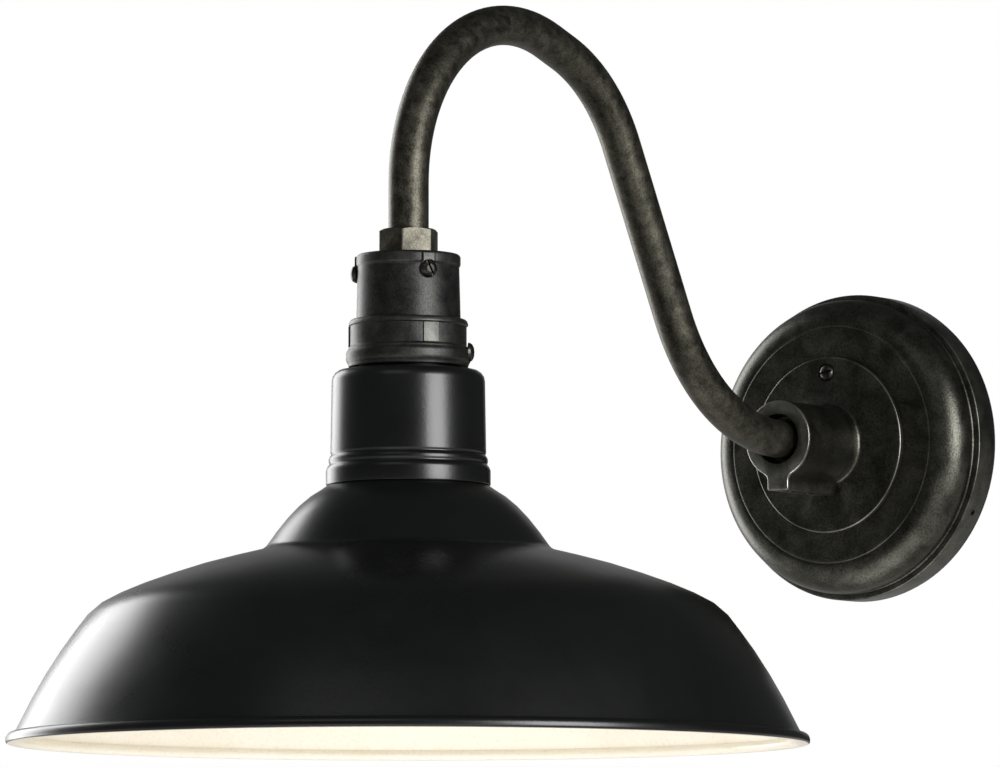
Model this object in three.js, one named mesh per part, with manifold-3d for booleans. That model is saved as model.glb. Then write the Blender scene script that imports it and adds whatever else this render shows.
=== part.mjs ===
// A gooseneck barn light for an outdoor wall: a cast backplate carries a bent tube arm, and the arm
// holds a socket cap, a shade holder and a wide enamelled reflector.
// Millimetres, +Z up. The wall is the plane y = 0 and the arm reaches out along -Y.
import * as THREE from "three";
import { mergeVertices } from "three/addons/utils/BufferGeometryUtils.js";
import Module from "manifold-3d";

const wasm = await Module();
wasm.setup();

// ---- driving dimensions ----

const gap = 0.3; // left between pieces that touch
const edgeBreak = 0.6; // chamfer on a cast, moulded or pressed edge
const overrun = 1; // how far a cut runs past the face it leaves through
const reach = 366; // wall to the axis of the shade
const wallSides = 44;
const shadeSides = 48;
const headSides = 32;
const boreSides = 24;
const smallBoreSides = 16;
const screwSides = 10;
const arcFacets = 4; // facets along a moulding or a dome

// arm tube
const tubeRadius = 9;
const tubeWall = 1.5;
const tubeSides = 12;
const bendSteps = 10; // facets along each bend
const footRadius = 98; // bend between the socket and the diagonal run
const footAngle = 61.75;
const hookRadius = 79.5;
const topRun = 13; // straight run over the top of the hook
const topSlope = 18.5;

// wall plate
const plateRadius = 74;
const plateDepth = 32.6;
const plateWall = 3.2;
const bandDepth = 13;
const ledgeWidth = 3.5;
const torusWidth = 12.9;
const torusRise = 2.2; // how far the moulding bulges from a straight cone
const lineDepth = 0.5; // groove around the flat front of the plate
const weepRadius = 1.3;
const weepAngle = -27.5;
const gasketThickness = 1.6;
const gasketWidth = 7;

// strap behind the wall plate
const strapLength = 104;
const strapWidth = 20;
const strapThickness = 2.5;
const strapHole = 6;
const curveFacets = 8; // facets along each curve of an extruded outline
const fixingSpacing = 69.85; // from the plate screw down to the locating stud
const boxScrewSpacing = 88.9;
const boxSlotLength = 9;
const boxSlotRadius = 2.4;
const groundScrewDrop = 18;

// arm flange: a disc with a boss that the tube plugs into
const discRadius = 42.5;
const discThickness = 2.8;
const spigotRadius = 13.7;
const spigotLength = 5;
const bossRadius = 18.4;
const bossLength = 41.9;
const ribHalfWidth = 5.9;
const ribDrop = 24.5;
const ribFillet = 4;
const mouthDepth = 8;
const mouthMargin = 3;
const leadHole = 6.8;
const spotDepth = 1;
const studSeat = 1.8; // depth of the stud's blind bore in the back of the disc
const socketSeat = 3; // floor left behind the tube

// fasteners
const plateScrew = { shank: 2.1, head: 3.9, rise: 2.4 };
const capScrew = { shank: 2, head: 4, rise: 2.8 };
const shadeScrew = { shank: 2, head: 4.4, rise: 2.6 };
const smallScrew = { shank: 1.6, head: 3.1, rise: 2 };
const smallScrewGrip = 4; // length of thread in the piece it holds
const slotWidth = 0.22; // of the head's radius
const grubRadius = 2.5;
const grubLength = 10;
const grubSocket = 1.4;
const grubSocketDepth = 4;
const grubPlaces = [12, 27]; // back from the mouth of the boss

// head, measured from the level of the arm's own axis
const capTop = 62.6;
const capFlangeHeight = 5.6;
const capFlangeOut = 0.6;
const capTaper = 0.7;
const capRoof = 2.6;
const capRound = 2; // rounding of the flange's upper edge
const capWall = 2.3;
const capHeight = 36.3;
const capScrewDrop = 8.4;
const capScrewAngles = [-30, 90, 210];
const capScrewTurn = 25; // how the slots happen to stand
const lugWidth = 6.4;
const lugOut = 1.3;
const nutHeight = 11;
const nutWall = 2.6;
const nutTurn = 24.5;
const nutChamfer = 0.8;
const locknutHeight = 4.5;
const tubeEndDrop = 10.6; // from the top of the cap to the end of the tube
const bushingFlange = 1.5;
const bushingLength = 6;
const bushingWall = 1.3;

// shade holder
const ringTop = 33.4;
const ringHeight = 21.2;
const ringWall = 1.6;
const ringThread = 7.1; // how far the cap reaches into the ring
const capStep = 1.7;
const panelDepth = 0.6;
const panelTop = 2.4;
const panelHeight = 9.6;
const ribWidth = 7;
const beadOut = 1.2;
const beadHeight = 6.4;
const beadRound = 1.4;
const shadeScrewZ = 18.7;
const shadeScrewAngles = { shade_screw_right: 30, shade_screw_left: 150 };
const lugAngle = 270;
const lugHeight = 4;

// lampholder
const lampRadius = 19;
const lampLowerStep = 0.8;
const lampWaist = 22; // from the top down to where the body steps in
const lampEdge = 1.5;
const lampTop = 36;
const lampLength = 55;
const lampFloor = 12;
const shellRadius = 14.2;
const shellWall = 0.6;
const shellRecess = 3;
const shellLength = 34;
const contactReach = 6;
const contactSpring = 3;
const contactThickness = 0.7;
const contactWidth = 4.5;
const bracketThickness = 1.5;
const bracketLevel = 41;
const bracketTab = 8;
const bracketInset = 0.6;
const postRadius = 4;
const postSpacing = 24;
const terminalSpacing = 26;
const groundTurn = 40; // from the screw posts around to the ground screw
const plateSize = 9;
const plateThickness = 1;

// shade
const sheet = 1.2;
const lampClearance = 1.8;
const lipOut = 2.4;
const lipHeight = 2.8;
const lipTop = 24.4;
const neckTop = 11;
const neckRadius = 34.7;
const neckTaper = 0.7;
const neckCorner = 5;
const neckCornerSteps = 3;
const grooveTop = -26.2;
const grooveDepth = 0.4;
const beadHigh = 1.1; // how far the bead below the groove stands out
const bandTop = -32.2;
const bandOut = 1.9;
const neckBottom = -40.5;
const creaseRadius = 64.5;
const creaseZ = -69.2;
const shoulderRadius = 130;
const shoulderZ = -90.1;
const skirtRadius = 143;
const skirtZ = -100;
const shadeRadius = 177.8;
const rimZ = -155.3;
const rimHeight = 4.8;
const rimWidth = 5;
const rimRound = 1.2;
const domeRise = 2.6;
const shoulderRise = 1.3;
const breakRise = 0.9;
const skirtRise = 2.7;

// leads
const leadRadius = 1.05;
const leadSides = 8;
const leadSpread = 2.9;
const leadDrop = 6;
const connectorRadius = 5;
const connectorLength = 14;
const connectorStandOff = 9;
const connectorSpread = 7.4;
const connectorMouth = 4; // depth of the mouth that takes the lead

// ---- sizes that follow from them ----

const tubeBore = tubeRadius - tubeWall;
const socketBore = tubeRadius + gap;
const plateBack = -gasketThickness - gap;
const discBack = -plateDepth - gap;
const discFront = discBack - discThickness;
const bossFront = discFront - bossLength;
const bendStart = bossFront + 1;
const tubeWallEnd = discFront - socketSeat;
const tubeHeadEnd = capTop - tubeEndDrop;
const collarRadius = lampRadius + lampClearance + sheet;
const lipRadius = collarRadius + lipOut;
const ringBore = lipRadius + 2 * gap;
const ringRadius = ringBore + ringWall;
const capRadius = ringBore - capStep;
const ringBottom = ringTop - ringHeight;
const capUnder = capTop - capFlangeHeight;
const capScrewZ = capTop - capScrewDrop;
const bracketRadius = capRadius - capTaper - capWall - bracketInset;
const bandRadius = neckRadius + bandOut;
const upstandRadius = bandRadius - sheet - gap;

// ---- finishes ----

function finish(color, roughness, metalness) {
  return () => new THREE.MeshStandardMaterial({ color, roughness, metalness });
}

const castPatina = finish(0x4b4b45, 0.5, 0.8);
const tubePatina = finish(0x57564c, 0.45, 0.8);
const satinBlack = finish(0x3a3b3c, 0.4, 0.6);
const blackEnamel = finish(0x222325, 0.2, 0.1);
const zincSteel = finish(0x9a9c9e, 0.4, 0.9);
const porcelain = finish(0xf1efe8, 0.25, 0);
const brass = finish(0xb8933f, 0.35, 0.9);
const rubber = finish(0x1d1d1d, 0.9, 0);
const nylon = finish(0xd9d6cc, 0.6, 0);
const leadBlack = finish(0x1a1a1a, 0.5, 0);
const leadWhite = finish(0xe6e4de, 0.5, 0);
const leadGreen = finish(0x2c7a3f, 0.5, 0);

// ---- helpers ----

const radians = THREE.MathUtils.degToRad;
const mergeDistance = 1e-4;

function signedVolume(points, triangles) {
  let sum = 0;
  const [a, b, c] = [new THREE.Vector3(), new THREE.Vector3(), new THREE.Vector3()];
  for (let i = 0; i < triangles.length; i += 3) {
    a.fromArray(points, 3 * triangles[i]);
    b.fromArray(points, 3 * triangles[i + 1]);
    c.fromArray(points, 3 * triangles[i + 2]);
    sum += a.dot(b.cross(c));
  }
  return sum / 6;
}

// A closed geometry becomes a solid with its faces pointing out.
function solidOf(geometry) {
  const plain = geometry.clone();
  plain.deleteAttribute("normal");
  plain.deleteAttribute("uv");
  const merged = mergeVertices(plain, mergeDistance);
  const index = merged.index.array;
  const points = new Float32Array(merged.attributes.position.array);
  const triangles = [];
  for (let i = 0; i < index.length; i += 3) {
    const [a, b, c] = index.slice(i, i + 3);
    if (a !== b && b !== c && c !== a) triangles.push(a, b, c);
  }
  if (signedVolume(points, triangles) < 0) triangles.reverse();
  const triVerts = new Uint32Array(triangles);
  return new wasm.Manifold(new wasm.Mesh({ numProp: 3, vertProperties: points, triVerts }));
}

function piece(name, solid, material) {
  const { vertProperties, triVerts } = solid.getMesh();
  const geometry = new THREE.BufferGeometry();
  geometry.setAttribute("position", new THREE.BufferAttribute(vertProperties, 3));
  geometry.setIndex(new THREE.BufferAttribute(triVerts, 1));
  geometry.computeVertexNormals();
  const mesh = new THREE.Mesh(geometry, material());
  mesh.name = name;
  return mesh;
}

// Points are [radius, level]; the outline is closed onto its first point.
function turnedY(outline, sides) {
  const points = [...outline, outline[0]].map(([r, y]) => new THREE.Vector2(r, y));
  return new THREE.LatheGeometry(points, sides);
}

function turned(outline, sides) {
  return solidOf(turnedY(outline, sides).rotateX(Math.PI / 2));
}

function turnedAlongWallAxis(outline, sides) {
  return solidOf(turnedY(outline, sides));
}

function rod(radius, low, high, sides) {
  const bar = new THREE.CylinderGeometry(radius, radius, high - low, sides).rotateX(Math.PI / 2);
  return solidOf(bar.translate(0, 0, (low + high) / 2));
}

function block(x, y, z, center) {
  return solidOf(new THREE.BoxGeometry(x, y, z).translate(...center));
}

function hexBar(acrossFlats, low, high) {
  return rod(acrossFlats / 2 / Math.cos(Math.PI / 6), low, high, 6);
}

function moved(solid, x, y, z) {
  return solid.translate([x, y, z]);
}

// A solid made standing on +Z is laid so that +Z points out at an angle around the Z axis.
function radial(solid, angle, distance, level) {
  return solid.rotate([0, 90, 0]).translate([distance, 0, level]).rotate([0, 0, angle]);
}

// A solid made standing on +Z is laid with +Z pointing out from the wall.
function outward(solid) {
  return solid.rotate([90, 0, 0]);
}

// Points on a shallow arc from a to b; rise is the bulge to the left of the direction of travel.
function arcPoints(a, b, rise, count) {
  const [dx, dy] = [b[0] - a[0], b[1] - a[1]];
  const half = Math.hypot(dx, dy) / 2;
  const radius = (half * half + rise * rise) / (2 * Math.abs(rise));
  const sweep = Math.asin(half / radius);
  const points = [];
  for (let i = 0; i <= count; i++) {
    const turn = sweep * ((2 * i) / count - 1);
    const along = 0.5 + Math.sin(turn) / Math.sin(sweep) / 2;
    const out = (Math.sign(rise) * radius * (Math.cos(turn) - Math.cos(sweep))) / (2 * half);
    points.push([a[0] + dx * along - dy * out, a[1] + dy * along + dx * out]);
  }
  return points;
}

// The open outline is followed by its own copy at one wall's distance on the right-hand side.
function walled(outline, wall) {
  const back = outline.map((point, i) => {
    const before = outline[Math.max(i - 1, 0)];
    const after = outline[Math.min(i + 1, outline.length - 1)];
    const inward = [point[0] - before[0], point[1] - before[1]];
    const onward = [after[0] - point[0], after[1] - point[1]];
    const first = Math.atan2(...(i > 0 ? inward : onward).toReversed());
    const last = Math.atan2(...(i < outline.length - 1 ? onward : inward).toReversed());
    const turn = Math.atan2(Math.sin(last - first), Math.cos(last - first)) / 2;
    const aim = first + turn - Math.PI / 2;
    const step = wall / Math.cos(turn);
    return [point[0] + step * Math.cos(aim), point[1] + step * Math.sin(aim)];
  });
  return [...outline, ...back.reverse()];
}

// A domed head on a shank along +Z: the head's seat is at z = 0 and the shank runs below it.
function slottedScrew({ shank, head, rise }, length) {
  const dome = [
    [0, rise],
    [head * Math.SQRT1_2, rise * 0.85],
    [head, 0],
  ];
  const body = turned([...dome, [shank, 0], [shank, -length], [0, -length]], screwSides);
  const slot = block(head * 3, head * slotWidth, rise, [0, 0, rise]);
  return body.subtract(slot);
}

// ---- path of the arm in the plane x = 0, from the wall end to the head end, as (y, z) ----

function armPath() {
  const foot = radians(footAngle);
  const top = radians(topSlope);
  const bends = footRadius * Math.sin(foot) + hookRadius * (Math.sin(foot) + 1);
  const diagonal = (reach + bendStart - bends - topRun * Math.cos(top)) / Math.cos(foot);
  const path = new THREE.Path();
  path.moveTo(tubeWallEnd, 0);
  path.lineTo(bendStart, 0);
  path.absarc(bendStart, footRadius, footRadius, -Math.PI / 2, -Math.PI / 2 - foot, true);
  const knee = path.currentPoint.clone();
  knee.add(new THREE.Vector2(-Math.cos(foot), Math.sin(foot)).multiplyScalar(diagonal));
  path.lineTo(knee.x, knee.y);
  const shoulder = knee.clone();
  shoulder.add(new THREE.Vector2(-Math.sin(foot), -Math.cos(foot)).multiplyScalar(hookRadius));
  path.absarc(shoulder.x, shoulder.y, hookRadius, Math.PI / 2 - foot, Math.PI / 2 - top, false);
  const run = path.currentPoint.clone();
  run.add(new THREE.Vector2(-Math.cos(top), Math.sin(top)).multiplyScalar(topRun));
  path.lineTo(run.x, run.y);
  const crown = run.clone();
  crown.add(new THREE.Vector2(-Math.sin(top), -Math.cos(top)).multiplyScalar(hookRadius));
  path.absarc(crown.x, crown.y, hookRadius, Math.PI / 2 - top, Math.PI, false);
  path.lineTo(-reach, tubeHeadEnd);
  return path;
}

// A curve that steps through its own points, so that a sweep along it bends only there.
class Route extends THREE.Curve {
  constructor(points) {
    super();
    this.points = points;
  }

  getPointAt(u, target = new THREE.Vector3()) {
    return target.copy(this.points[Math.round(u * (this.points.length - 1))]);
  }

  getTangentAt(u, target = new THREE.Vector3()) {
    const i = Math.round(u * (this.points.length - 1));
    const here = this.points[i];
    const before = this.points[Math.max(i - 1, 0)];
    const after = this.points[Math.min(i + 1, this.points.length - 1)];
    const onward = after.clone().sub(here).normalize();
    return target.subVectors(here, before).normalize().add(onward).normalize();
  }
}

function sweptTube(points, radius, sides, bore) {
  const ring = (r) => {
    const corners = [];
    for (let i = 0; i < sides; i++) {
      const turn = (2 * Math.PI * i) / sides;
      corners.push(new THREE.Vector2(r * Math.cos(turn), r * Math.sin(turn)));
    }
    return corners;
  };
  const section = new THREE.Shape(ring(radius));
  if (bore) section.holes.push(new THREE.Path(ring(bore)));
  const along = { steps: points.length - 1, extrudePath: new Route(points), bevelEnabled: false };
  return solidOf(new THREE.ExtrudeGeometry(section, along));
}

// ---- wall end ----

function backplate() {
  const front = -plateDepth;
  const bandFront = plateBack - bandDepth;
  const torusFoot = [plateRadius - ledgeWidth, bandFront - edgeBreak];
  const torusTop = [torusFoot[0] - torusWidth, front + lineDepth];
  const outline = [
    [plateRadius, plateBack],
    [plateRadius, bandFront + edgeBreak],
    [plateRadius - edgeBreak, bandFront],
    [torusFoot[0] + edgeBreak, bandFront],
    ...arcPoints(torusFoot, torusTop, torusRise, arcFacets),
    [torusTop[0] - lineDepth, front + lineDepth],
    [torusTop[0] - 3 * lineDepth, front],
    [spigotRadius + gap, front],
  ];
  const lining = [
    [spigotRadius + gap, front + plateWall],
    [torusTop[0] - plateWall, front + plateWall],
    [torusFoot[0] - plateWall, bandFront],
    [plateRadius - plateWall, bandFront + plateWall],
    [plateRadius - plateWall, plateBack],
  ];
  let plate = turnedAlongWallAxis([...outline, ...lining], wallSides);
  for (const side of [1, -1]) {
    const hole = outward(rod(plateScrew.shank + gap, 0, 2 * plateDepth, screwSides));
    plate = plate.subtract(moved(hole, 0, 0, (side * fixingSpacing) / 2));
    const weep = rod(weepRadius, 0, plateRadius * 2, screwSides).rotate([0, side * 90, 0]);
    const level = plateBack - bandDepth / 2;
    plate = plate.subtract(moved(weep.rotate([0, -side * weepAngle, 0]), 0, level, 0));
  }
  return piece("backplate", plate, castPatina);
}

function wallGasket() {
  const outer = plateRadius - edgeBreak;
  const outline = [
    [outer, 0],
    [outer, -gasketThickness],
    [outer - gasketWidth, -gasketThickness],
    [outer - gasketWidth, 0],
  ];
  return piece("wall_gasket", turnedAlongWallAxis(outline, headSides), rubber);
}

function roundedStrip(width, length) {
  const strip = new THREE.Shape();
  const straight = (length - width) / 2;
  strip.absarc(0, straight, width / 2, 0, Math.PI, false);
  strip.absarc(0, -straight, width / 2, Math.PI, 2 * Math.PI, false);
  strip.closePath();
  return strip;
}

function mountingStrap() {
  const shape = roundedStrip(strapWidth, strapLength);
  const cut = { depth: strapThickness, bevelEnabled: false, curveSegments: curveFacets };
  let strap = solidOf(new THREE.ExtrudeGeometry(shape, cut).rotateX(Math.PI / 2));
  const drill = (radius) => outward(rod(radius, -overrun, strapThickness + overrun, screwSides));
  strap = strap.subtract(drill(strapHole));
  for (const side of [1, -1]) {
    const tapped = drill(plateScrew.shank + gap);
    strap = strap.subtract(moved(tapped, 0, 0, (side * fixingSpacing) / 2));
    const slotShape = roundedStrip(2 * boxSlotRadius, boxSlotLength);
    const through = { ...cut, depth: 3 * strapThickness };
    const slot = solidOf(new THREE.ExtrudeGeometry(slotShape, through).rotateX(Math.PI / 2));
    const sideways = slot.rotate([0, 90, 0]);
    const level = (side * boxScrewSpacing) / 2;
    strap = strap.subtract(moved(sideways, 0, strapThickness, level));
  }
  const ground = drill(smallScrew.shank + gap);
  strap = strap.subtract(moved(ground, 0, 0, -groundScrewDrop));
  return piece("mounting_strap", strap, zincSteel);
}

// The plate hangs on one screw; a stud in the back of the disc keeps it from turning.
function wallFixings() {
  const seat = -discFront - spotDepth + gap;
  const long = outward(moved(slottedScrew(plateScrew, seat - gap), 0, 0, seat));
  const half = fixingSpacing / 2;
  const stud = outward(rod(plateScrew.shank, gap, studSeat - discBack - gap, screwSides));
  const short = slottedScrew(smallScrew, strapThickness);
  const ground = outward(moved(short, 0, 0, strapThickness + gap));
  return [
    piece("plate_screw", moved(long, 0, 0, half), castPatina),
    piece("locating_stud", moved(stud, 0, 0, -half), zincSteel),
    piece("ground_screw", moved(ground, 0, 0, -groundScrewDrop), zincSteel),
  ];
}

// A round boss with a rib below it, joined by two hollow fillets.
function keyholeShape() {
  const side = ribHalfWidth + ribFillet;
  const drop = Math.sqrt((bossRadius + ribFillet) ** 2 - side ** 2);
  const touch = Math.atan2(-drop, side);
  const shape = new THREE.Shape();
  shape.moveTo(-ribHalfWidth, -ribDrop);
  shape.lineTo(ribHalfWidth, -ribDrop);
  shape.absarc(side, -drop, ribFillet, Math.PI, touch + Math.PI, true);
  shape.absarc(0, 0, bossRadius, touch, Math.PI - touch, false);
  shape.absarc(-side, -drop, ribFillet, -touch, 0, true);
  shape.closePath();
  return shape;
}

function armFlange() {
  const disc = turnedAlongWallAxis(
    [
      [0, discBack + spigotLength],
      [spigotRadius, discBack + spigotLength],
      [spigotRadius, discBack],
      [discRadius, discBack],
      [discRadius, discFront + edgeBreak],
      [discRadius - edgeBreak, discFront],
      [0, discFront],
    ],
    wallSides,
  );
  const depth = bossLength + discThickness / 2;
  const cut = { depth, bevelEnabled: false, curveSegments: curveFacets };
  const boss = solidOf(new THREE.ExtrudeGeometry(keyholeShape(), cut).rotateX(Math.PI / 2));
  let flange = disc.add(moved(boss, 0, bossFront + depth, 0));
  const drill = (radius, from, to) => outward(rod(radius, from, to + overrun, boreSides));
  const seat = -tubeWallEnd - bushingFlange - 2 * gap;
  flange = flange.subtract(drill(socketBore, seat, -bossFront));
  flange = flange.subtract(drill(tubeRadius + mouthMargin, -bossFront - mouthDepth, -bossFront));
  flange = flange.subtract(drill(leadHole, 0, seat));
  const hole = drill(plateScrew.shank + gap, 0, -discFront);
  const spot = drill(plateScrew.head + 2 * gap, -discFront - spotDepth, -discFront);
  flange = flange.subtract(moved(hole.add(spot), 0, 0, fixingSpacing / 2));
  const blind = outward(rod(plateScrew.shank + gap, 0, studSeat - discBack, screwSides));
  flange = flange.subtract(moved(blind, 0, 0, -fixingSpacing / 2));
  for (const place of grubPlaces) {
    const tapped = rod(grubRadius + gap, -ribDrop - overrun, -tubeRadius / 2, screwSides);
    flange = flange.subtract(moved(tapped, 0, bossFront + place, 0));
  }
  return piece("arm_flange", flange, castPatina);
}

function grubScrews() {
  const names = ["arm_set_screw_front", "arm_set_screw_rear"];
  const low = -socketBore - grubLength;
  const body = rod(grubRadius, low, low + grubLength, screwSides);
  const key = hexBar(2 * grubSocket, low - overrun, low + grubSocketDepth);
  const grub = body.subtract(key);
  return names.map((name, i) => {
    const placed = moved(grub, 0, bossFront + grubPlaces[i], 0);
    return piece(name, placed, zincSteel);
  });
}

// ---- arm ----

function armPoints() {
  const flat = armPath().getPoints(bendSteps / 2);
  return flat.map((p) => new THREE.Vector3(0, p.x, p.y));
}

function arm() {
  const tube = sweptTube(armPoints(), tubeRadius, tubeSides, tubeBore);
  return piece("gooseneck_arm", tube, tubePatina);
}

// A flanged sleeve that lines the end of the tube; its flange is below z = 0 and its sleeve above.
function bushing() {
  const sleeve = tubeBore - gap;
  const bore = sleeve - bushingWall;
  const outline = [
    [bore, -bushingFlange],
    [tubeRadius, -bushingFlange],
    [tubeRadius, 0],
    [sleeve, 0],
    [sleeve, bushingLength],
    [bore, bushingLength],
  ];
  return turned(outline, screwSides * 2);
}

function bushings() {
  const wallEnd = outward(bushing()).translate([0, tubeWallEnd + gap, 0]);
  const headEnd = moved(bushing(), 0, 0, tubeHeadEnd - gap);
  return [piece("wall_end_bushing", wallEnd, nylon), piece("head_end_bushing", headEnd, nylon)];
}

// ---- head, made on the axis of the shade ----

function hexNuts() {
  const flats = 2 * (tubeRadius + gap + nutWall);
  const corner = flats / 2 / Math.cos(Math.PI / 6);
  const low = capTop + gap;
  const high = low + nutHeight;
  const bore = rod(tubeRadius + gap, 0, high + overrun, boreSides);
  const chamfer = turned(
    [
      [0, low],
      [corner, low],
      [corner, high - nutChamfer],
      [corner - 2 * nutChamfer, high],
      [0, high],
    ],
    headSides,
  );
  const nut = hexBar(flats, low, high).rotate([0, 0, nutTurn]).intersect(chamfer).subtract(bore);
  const under = capTop - capRoof - gap;
  const locknut = hexBar(flats, under - locknutHeight, under).subtract(bore);
  return [piece("hex_coupling_nut", nut, tubePatina), piece("inner_locknut", locknut, zincSteel)];
}

function socketCap() {
  const neck = capRadius - capTaper;
  const edge = neck + capFlangeOut;
  const bottom = capTop - capHeight;
  const outline = [
    [tubeRadius + gap, capTop],
    [edge - capRound, capTop],
    [edge - capRound / 4, capTop - capRound / 3],
    [edge, capTop - capRound],
    [edge, capUnder + 2 * edgeBreak],
    [neck, capUnder],
    [capRadius, ringTop],
    [capRadius, bottom],
    [capRadius - capWall, bottom],
    [capRadius - capWall, ringTop],
    [neck - capWall, capTop - capRoof],
    [tubeRadius + gap, capTop - capRoof],
  ];
  let cap = turned(outline, headSides);
  const lugDepth = lugOut + capWall;
  const lugMiddle = (capTop + capUnder) / 2 - edgeBreak;
  const lug = block(lugDepth, lugWidth, capFlangeHeight, [neck + lugOut - lugDepth / 2, 0, lugMiddle]);
  for (const angle of capScrewAngles) {
    cap = cap.add(lug.rotate([0, 0, angle]));
  }
  for (const angle of capScrewAngles) {
    const hole = rod(capScrew.shank + gap, 0, capWall * 3, screwSides);
    cap = cap.subtract(radial(hole, angle, neck - capWall * 2, capScrewZ));
    const seat = rod(capScrew.head + gap, 0, 4 * capScrew.rise, screwSides);
    cap = cap.subtract(radial(seat, angle, neck + gap, capScrewZ));
  }
  return piece("socket_cap", cap, satinBlack);
}

function capScrews() {
  const seat = capRadius - capTaper + 2 * gap;
  const length = seat - bracketRadius + 2 * bracketThickness;
  return capScrewAngles.map((angle, i) => {
    const screw = slottedScrew(capScrew, length).rotate([0, 0, capScrewTurn]);
    return piece(`cap_screw_${i + 1}`, radial(screw, angle, seat, capScrewZ), zincSteel);
  });
}

function shadeHolder() {
  const panel = ringRadius - panelDepth;
  const beadRadius = ringRadius + beadOut;
  const panelLow = ringTop - panelTop - panelHeight;
  const outline = [
    [capRadius + gap, ringTop],
    [ringRadius - 2 * edgeBreak, ringTop],
    [ringRadius, ringTop - edgeBreak],
    [ringRadius, ringTop - panelTop],
    [panel, ringTop - panelTop - panelDepth],
    [panel, panelLow],
    [ringRadius, panelLow - panelDepth],
    [ringRadius, ringBottom + beadHeight + beadRound],
    [beadRadius, ringBottom + beadHeight],
    [beadRadius, ringBottom + 2 * beadRound],
    [ringRadius, ringBottom + beadRound],
    [ringRadius, ringBottom],
    [ringBore, ringBottom],
    [ringBore, ringTop - ringThread - gap],
    [capRadius + gap, ringTop - ringThread - gap],
  ];
  let ring = turned(outline, headSides);
  const ribMiddle = panelLow + panelHeight / 2;
  const rib = block(ringWall, ribWidth, panelHeight + ringWall, [
    ringRadius - ringWall / 2,
    0,
    ribMiddle,
  ]);
  for (const angle of capScrewAngles) {
    ring = ring.add(rib.rotate([0, 0, angle]));
  }
  const inner = collarRadius + 2 * gap;
  const lugDepth = ringBore + ringWall / 2 - inner;
  const lugLevel = lipTop - lipHeight - gap - lugHeight / 2;
  const lug = block(lugDepth, ribWidth, lugHeight, [inner + lugDepth / 2, 0, lugLevel]);
  ring = ring.add(lug.rotate([0, 0, lugAngle]));
  for (const angle of Object.values(shadeScrewAngles)) {
    const hole = rod(shadeScrew.shank + gap, 0, ringRadius, screwSides);
    ring = ring.subtract(radial(hole, angle, collarRadius, shadeScrewZ));
    const spot = rod(shadeScrew.head + gap, 0, ringRadius, screwSides);
    ring = ring.subtract(radial(spot, angle, ringRadius, shadeScrewZ));
  }
  return piece("shade_holder", ring, satinBlack);
}

function shadeScrews() {
  const seat = ringRadius + gap;
  const length = seat - collarRadius - 2 * gap;
  const screw = slottedScrew(shadeScrew, length);
  return Object.entries(shadeScrewAngles).map(([name, angle]) =>
    piece(name, radial(screw, angle, seat, shadeScrewZ), zincSteel),
  );
}

function lampBracket() {
  const top = bracketLevel + bracketThickness;
  let bracket = rod(bracketRadius, bracketLevel, top, headSides);
  const tabTop = capTop - capRoof - 2 * gap;
  const reachOut = Math.sqrt(bracketRadius ** 2 - (bracketTab / 2) ** 2);
  for (const angle of capScrewAngles) {
    const tab = block(bracketThickness, bracketTab, tabTop - bracketLevel, [
      reachOut - bracketThickness / 2,
      0,
      (tabTop + bracketLevel) / 2,
    ]);
    const drilled = rod(capScrew.shank + gap, -capWall, capWall, screwSides);
    const hole = radial(drilled, 0, reachOut, capScrewZ);
    bracket = bracket.add(tab.subtract(hole).rotate([0, 0, angle]));
  }
  const drill = (radius, x, y) => {
    return moved(rod(radius, bracketLevel - overrun, top + overrun, smallBoreSides), x, y, 0);
  };
  bracket = bracket.subtract(drill(tubeBore, 0, 0));
  for (const side of [1, -1]) {
    bracket = bracket.subtract(drill(smallScrew.shank + gap, 0, (side * postSpacing) / 2));
    bracket = bracket.subtract(drill(4 * leadRadius, (side * terminalSpacing) / 2, 0));
  }
  bracket = bracket.subtract(drill(smallScrew.shank + gap, ...groundPoint()));
  return piece("lampholder_bracket", bracket, zincSteel);
}

function groundPoint() {
  const turn = radians(groundTurn);
  const distance = postSpacing / 2 + smallScrew.shank;
  return [distance * Math.sin(turn), distance * Math.cos(turn)];
}

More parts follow.
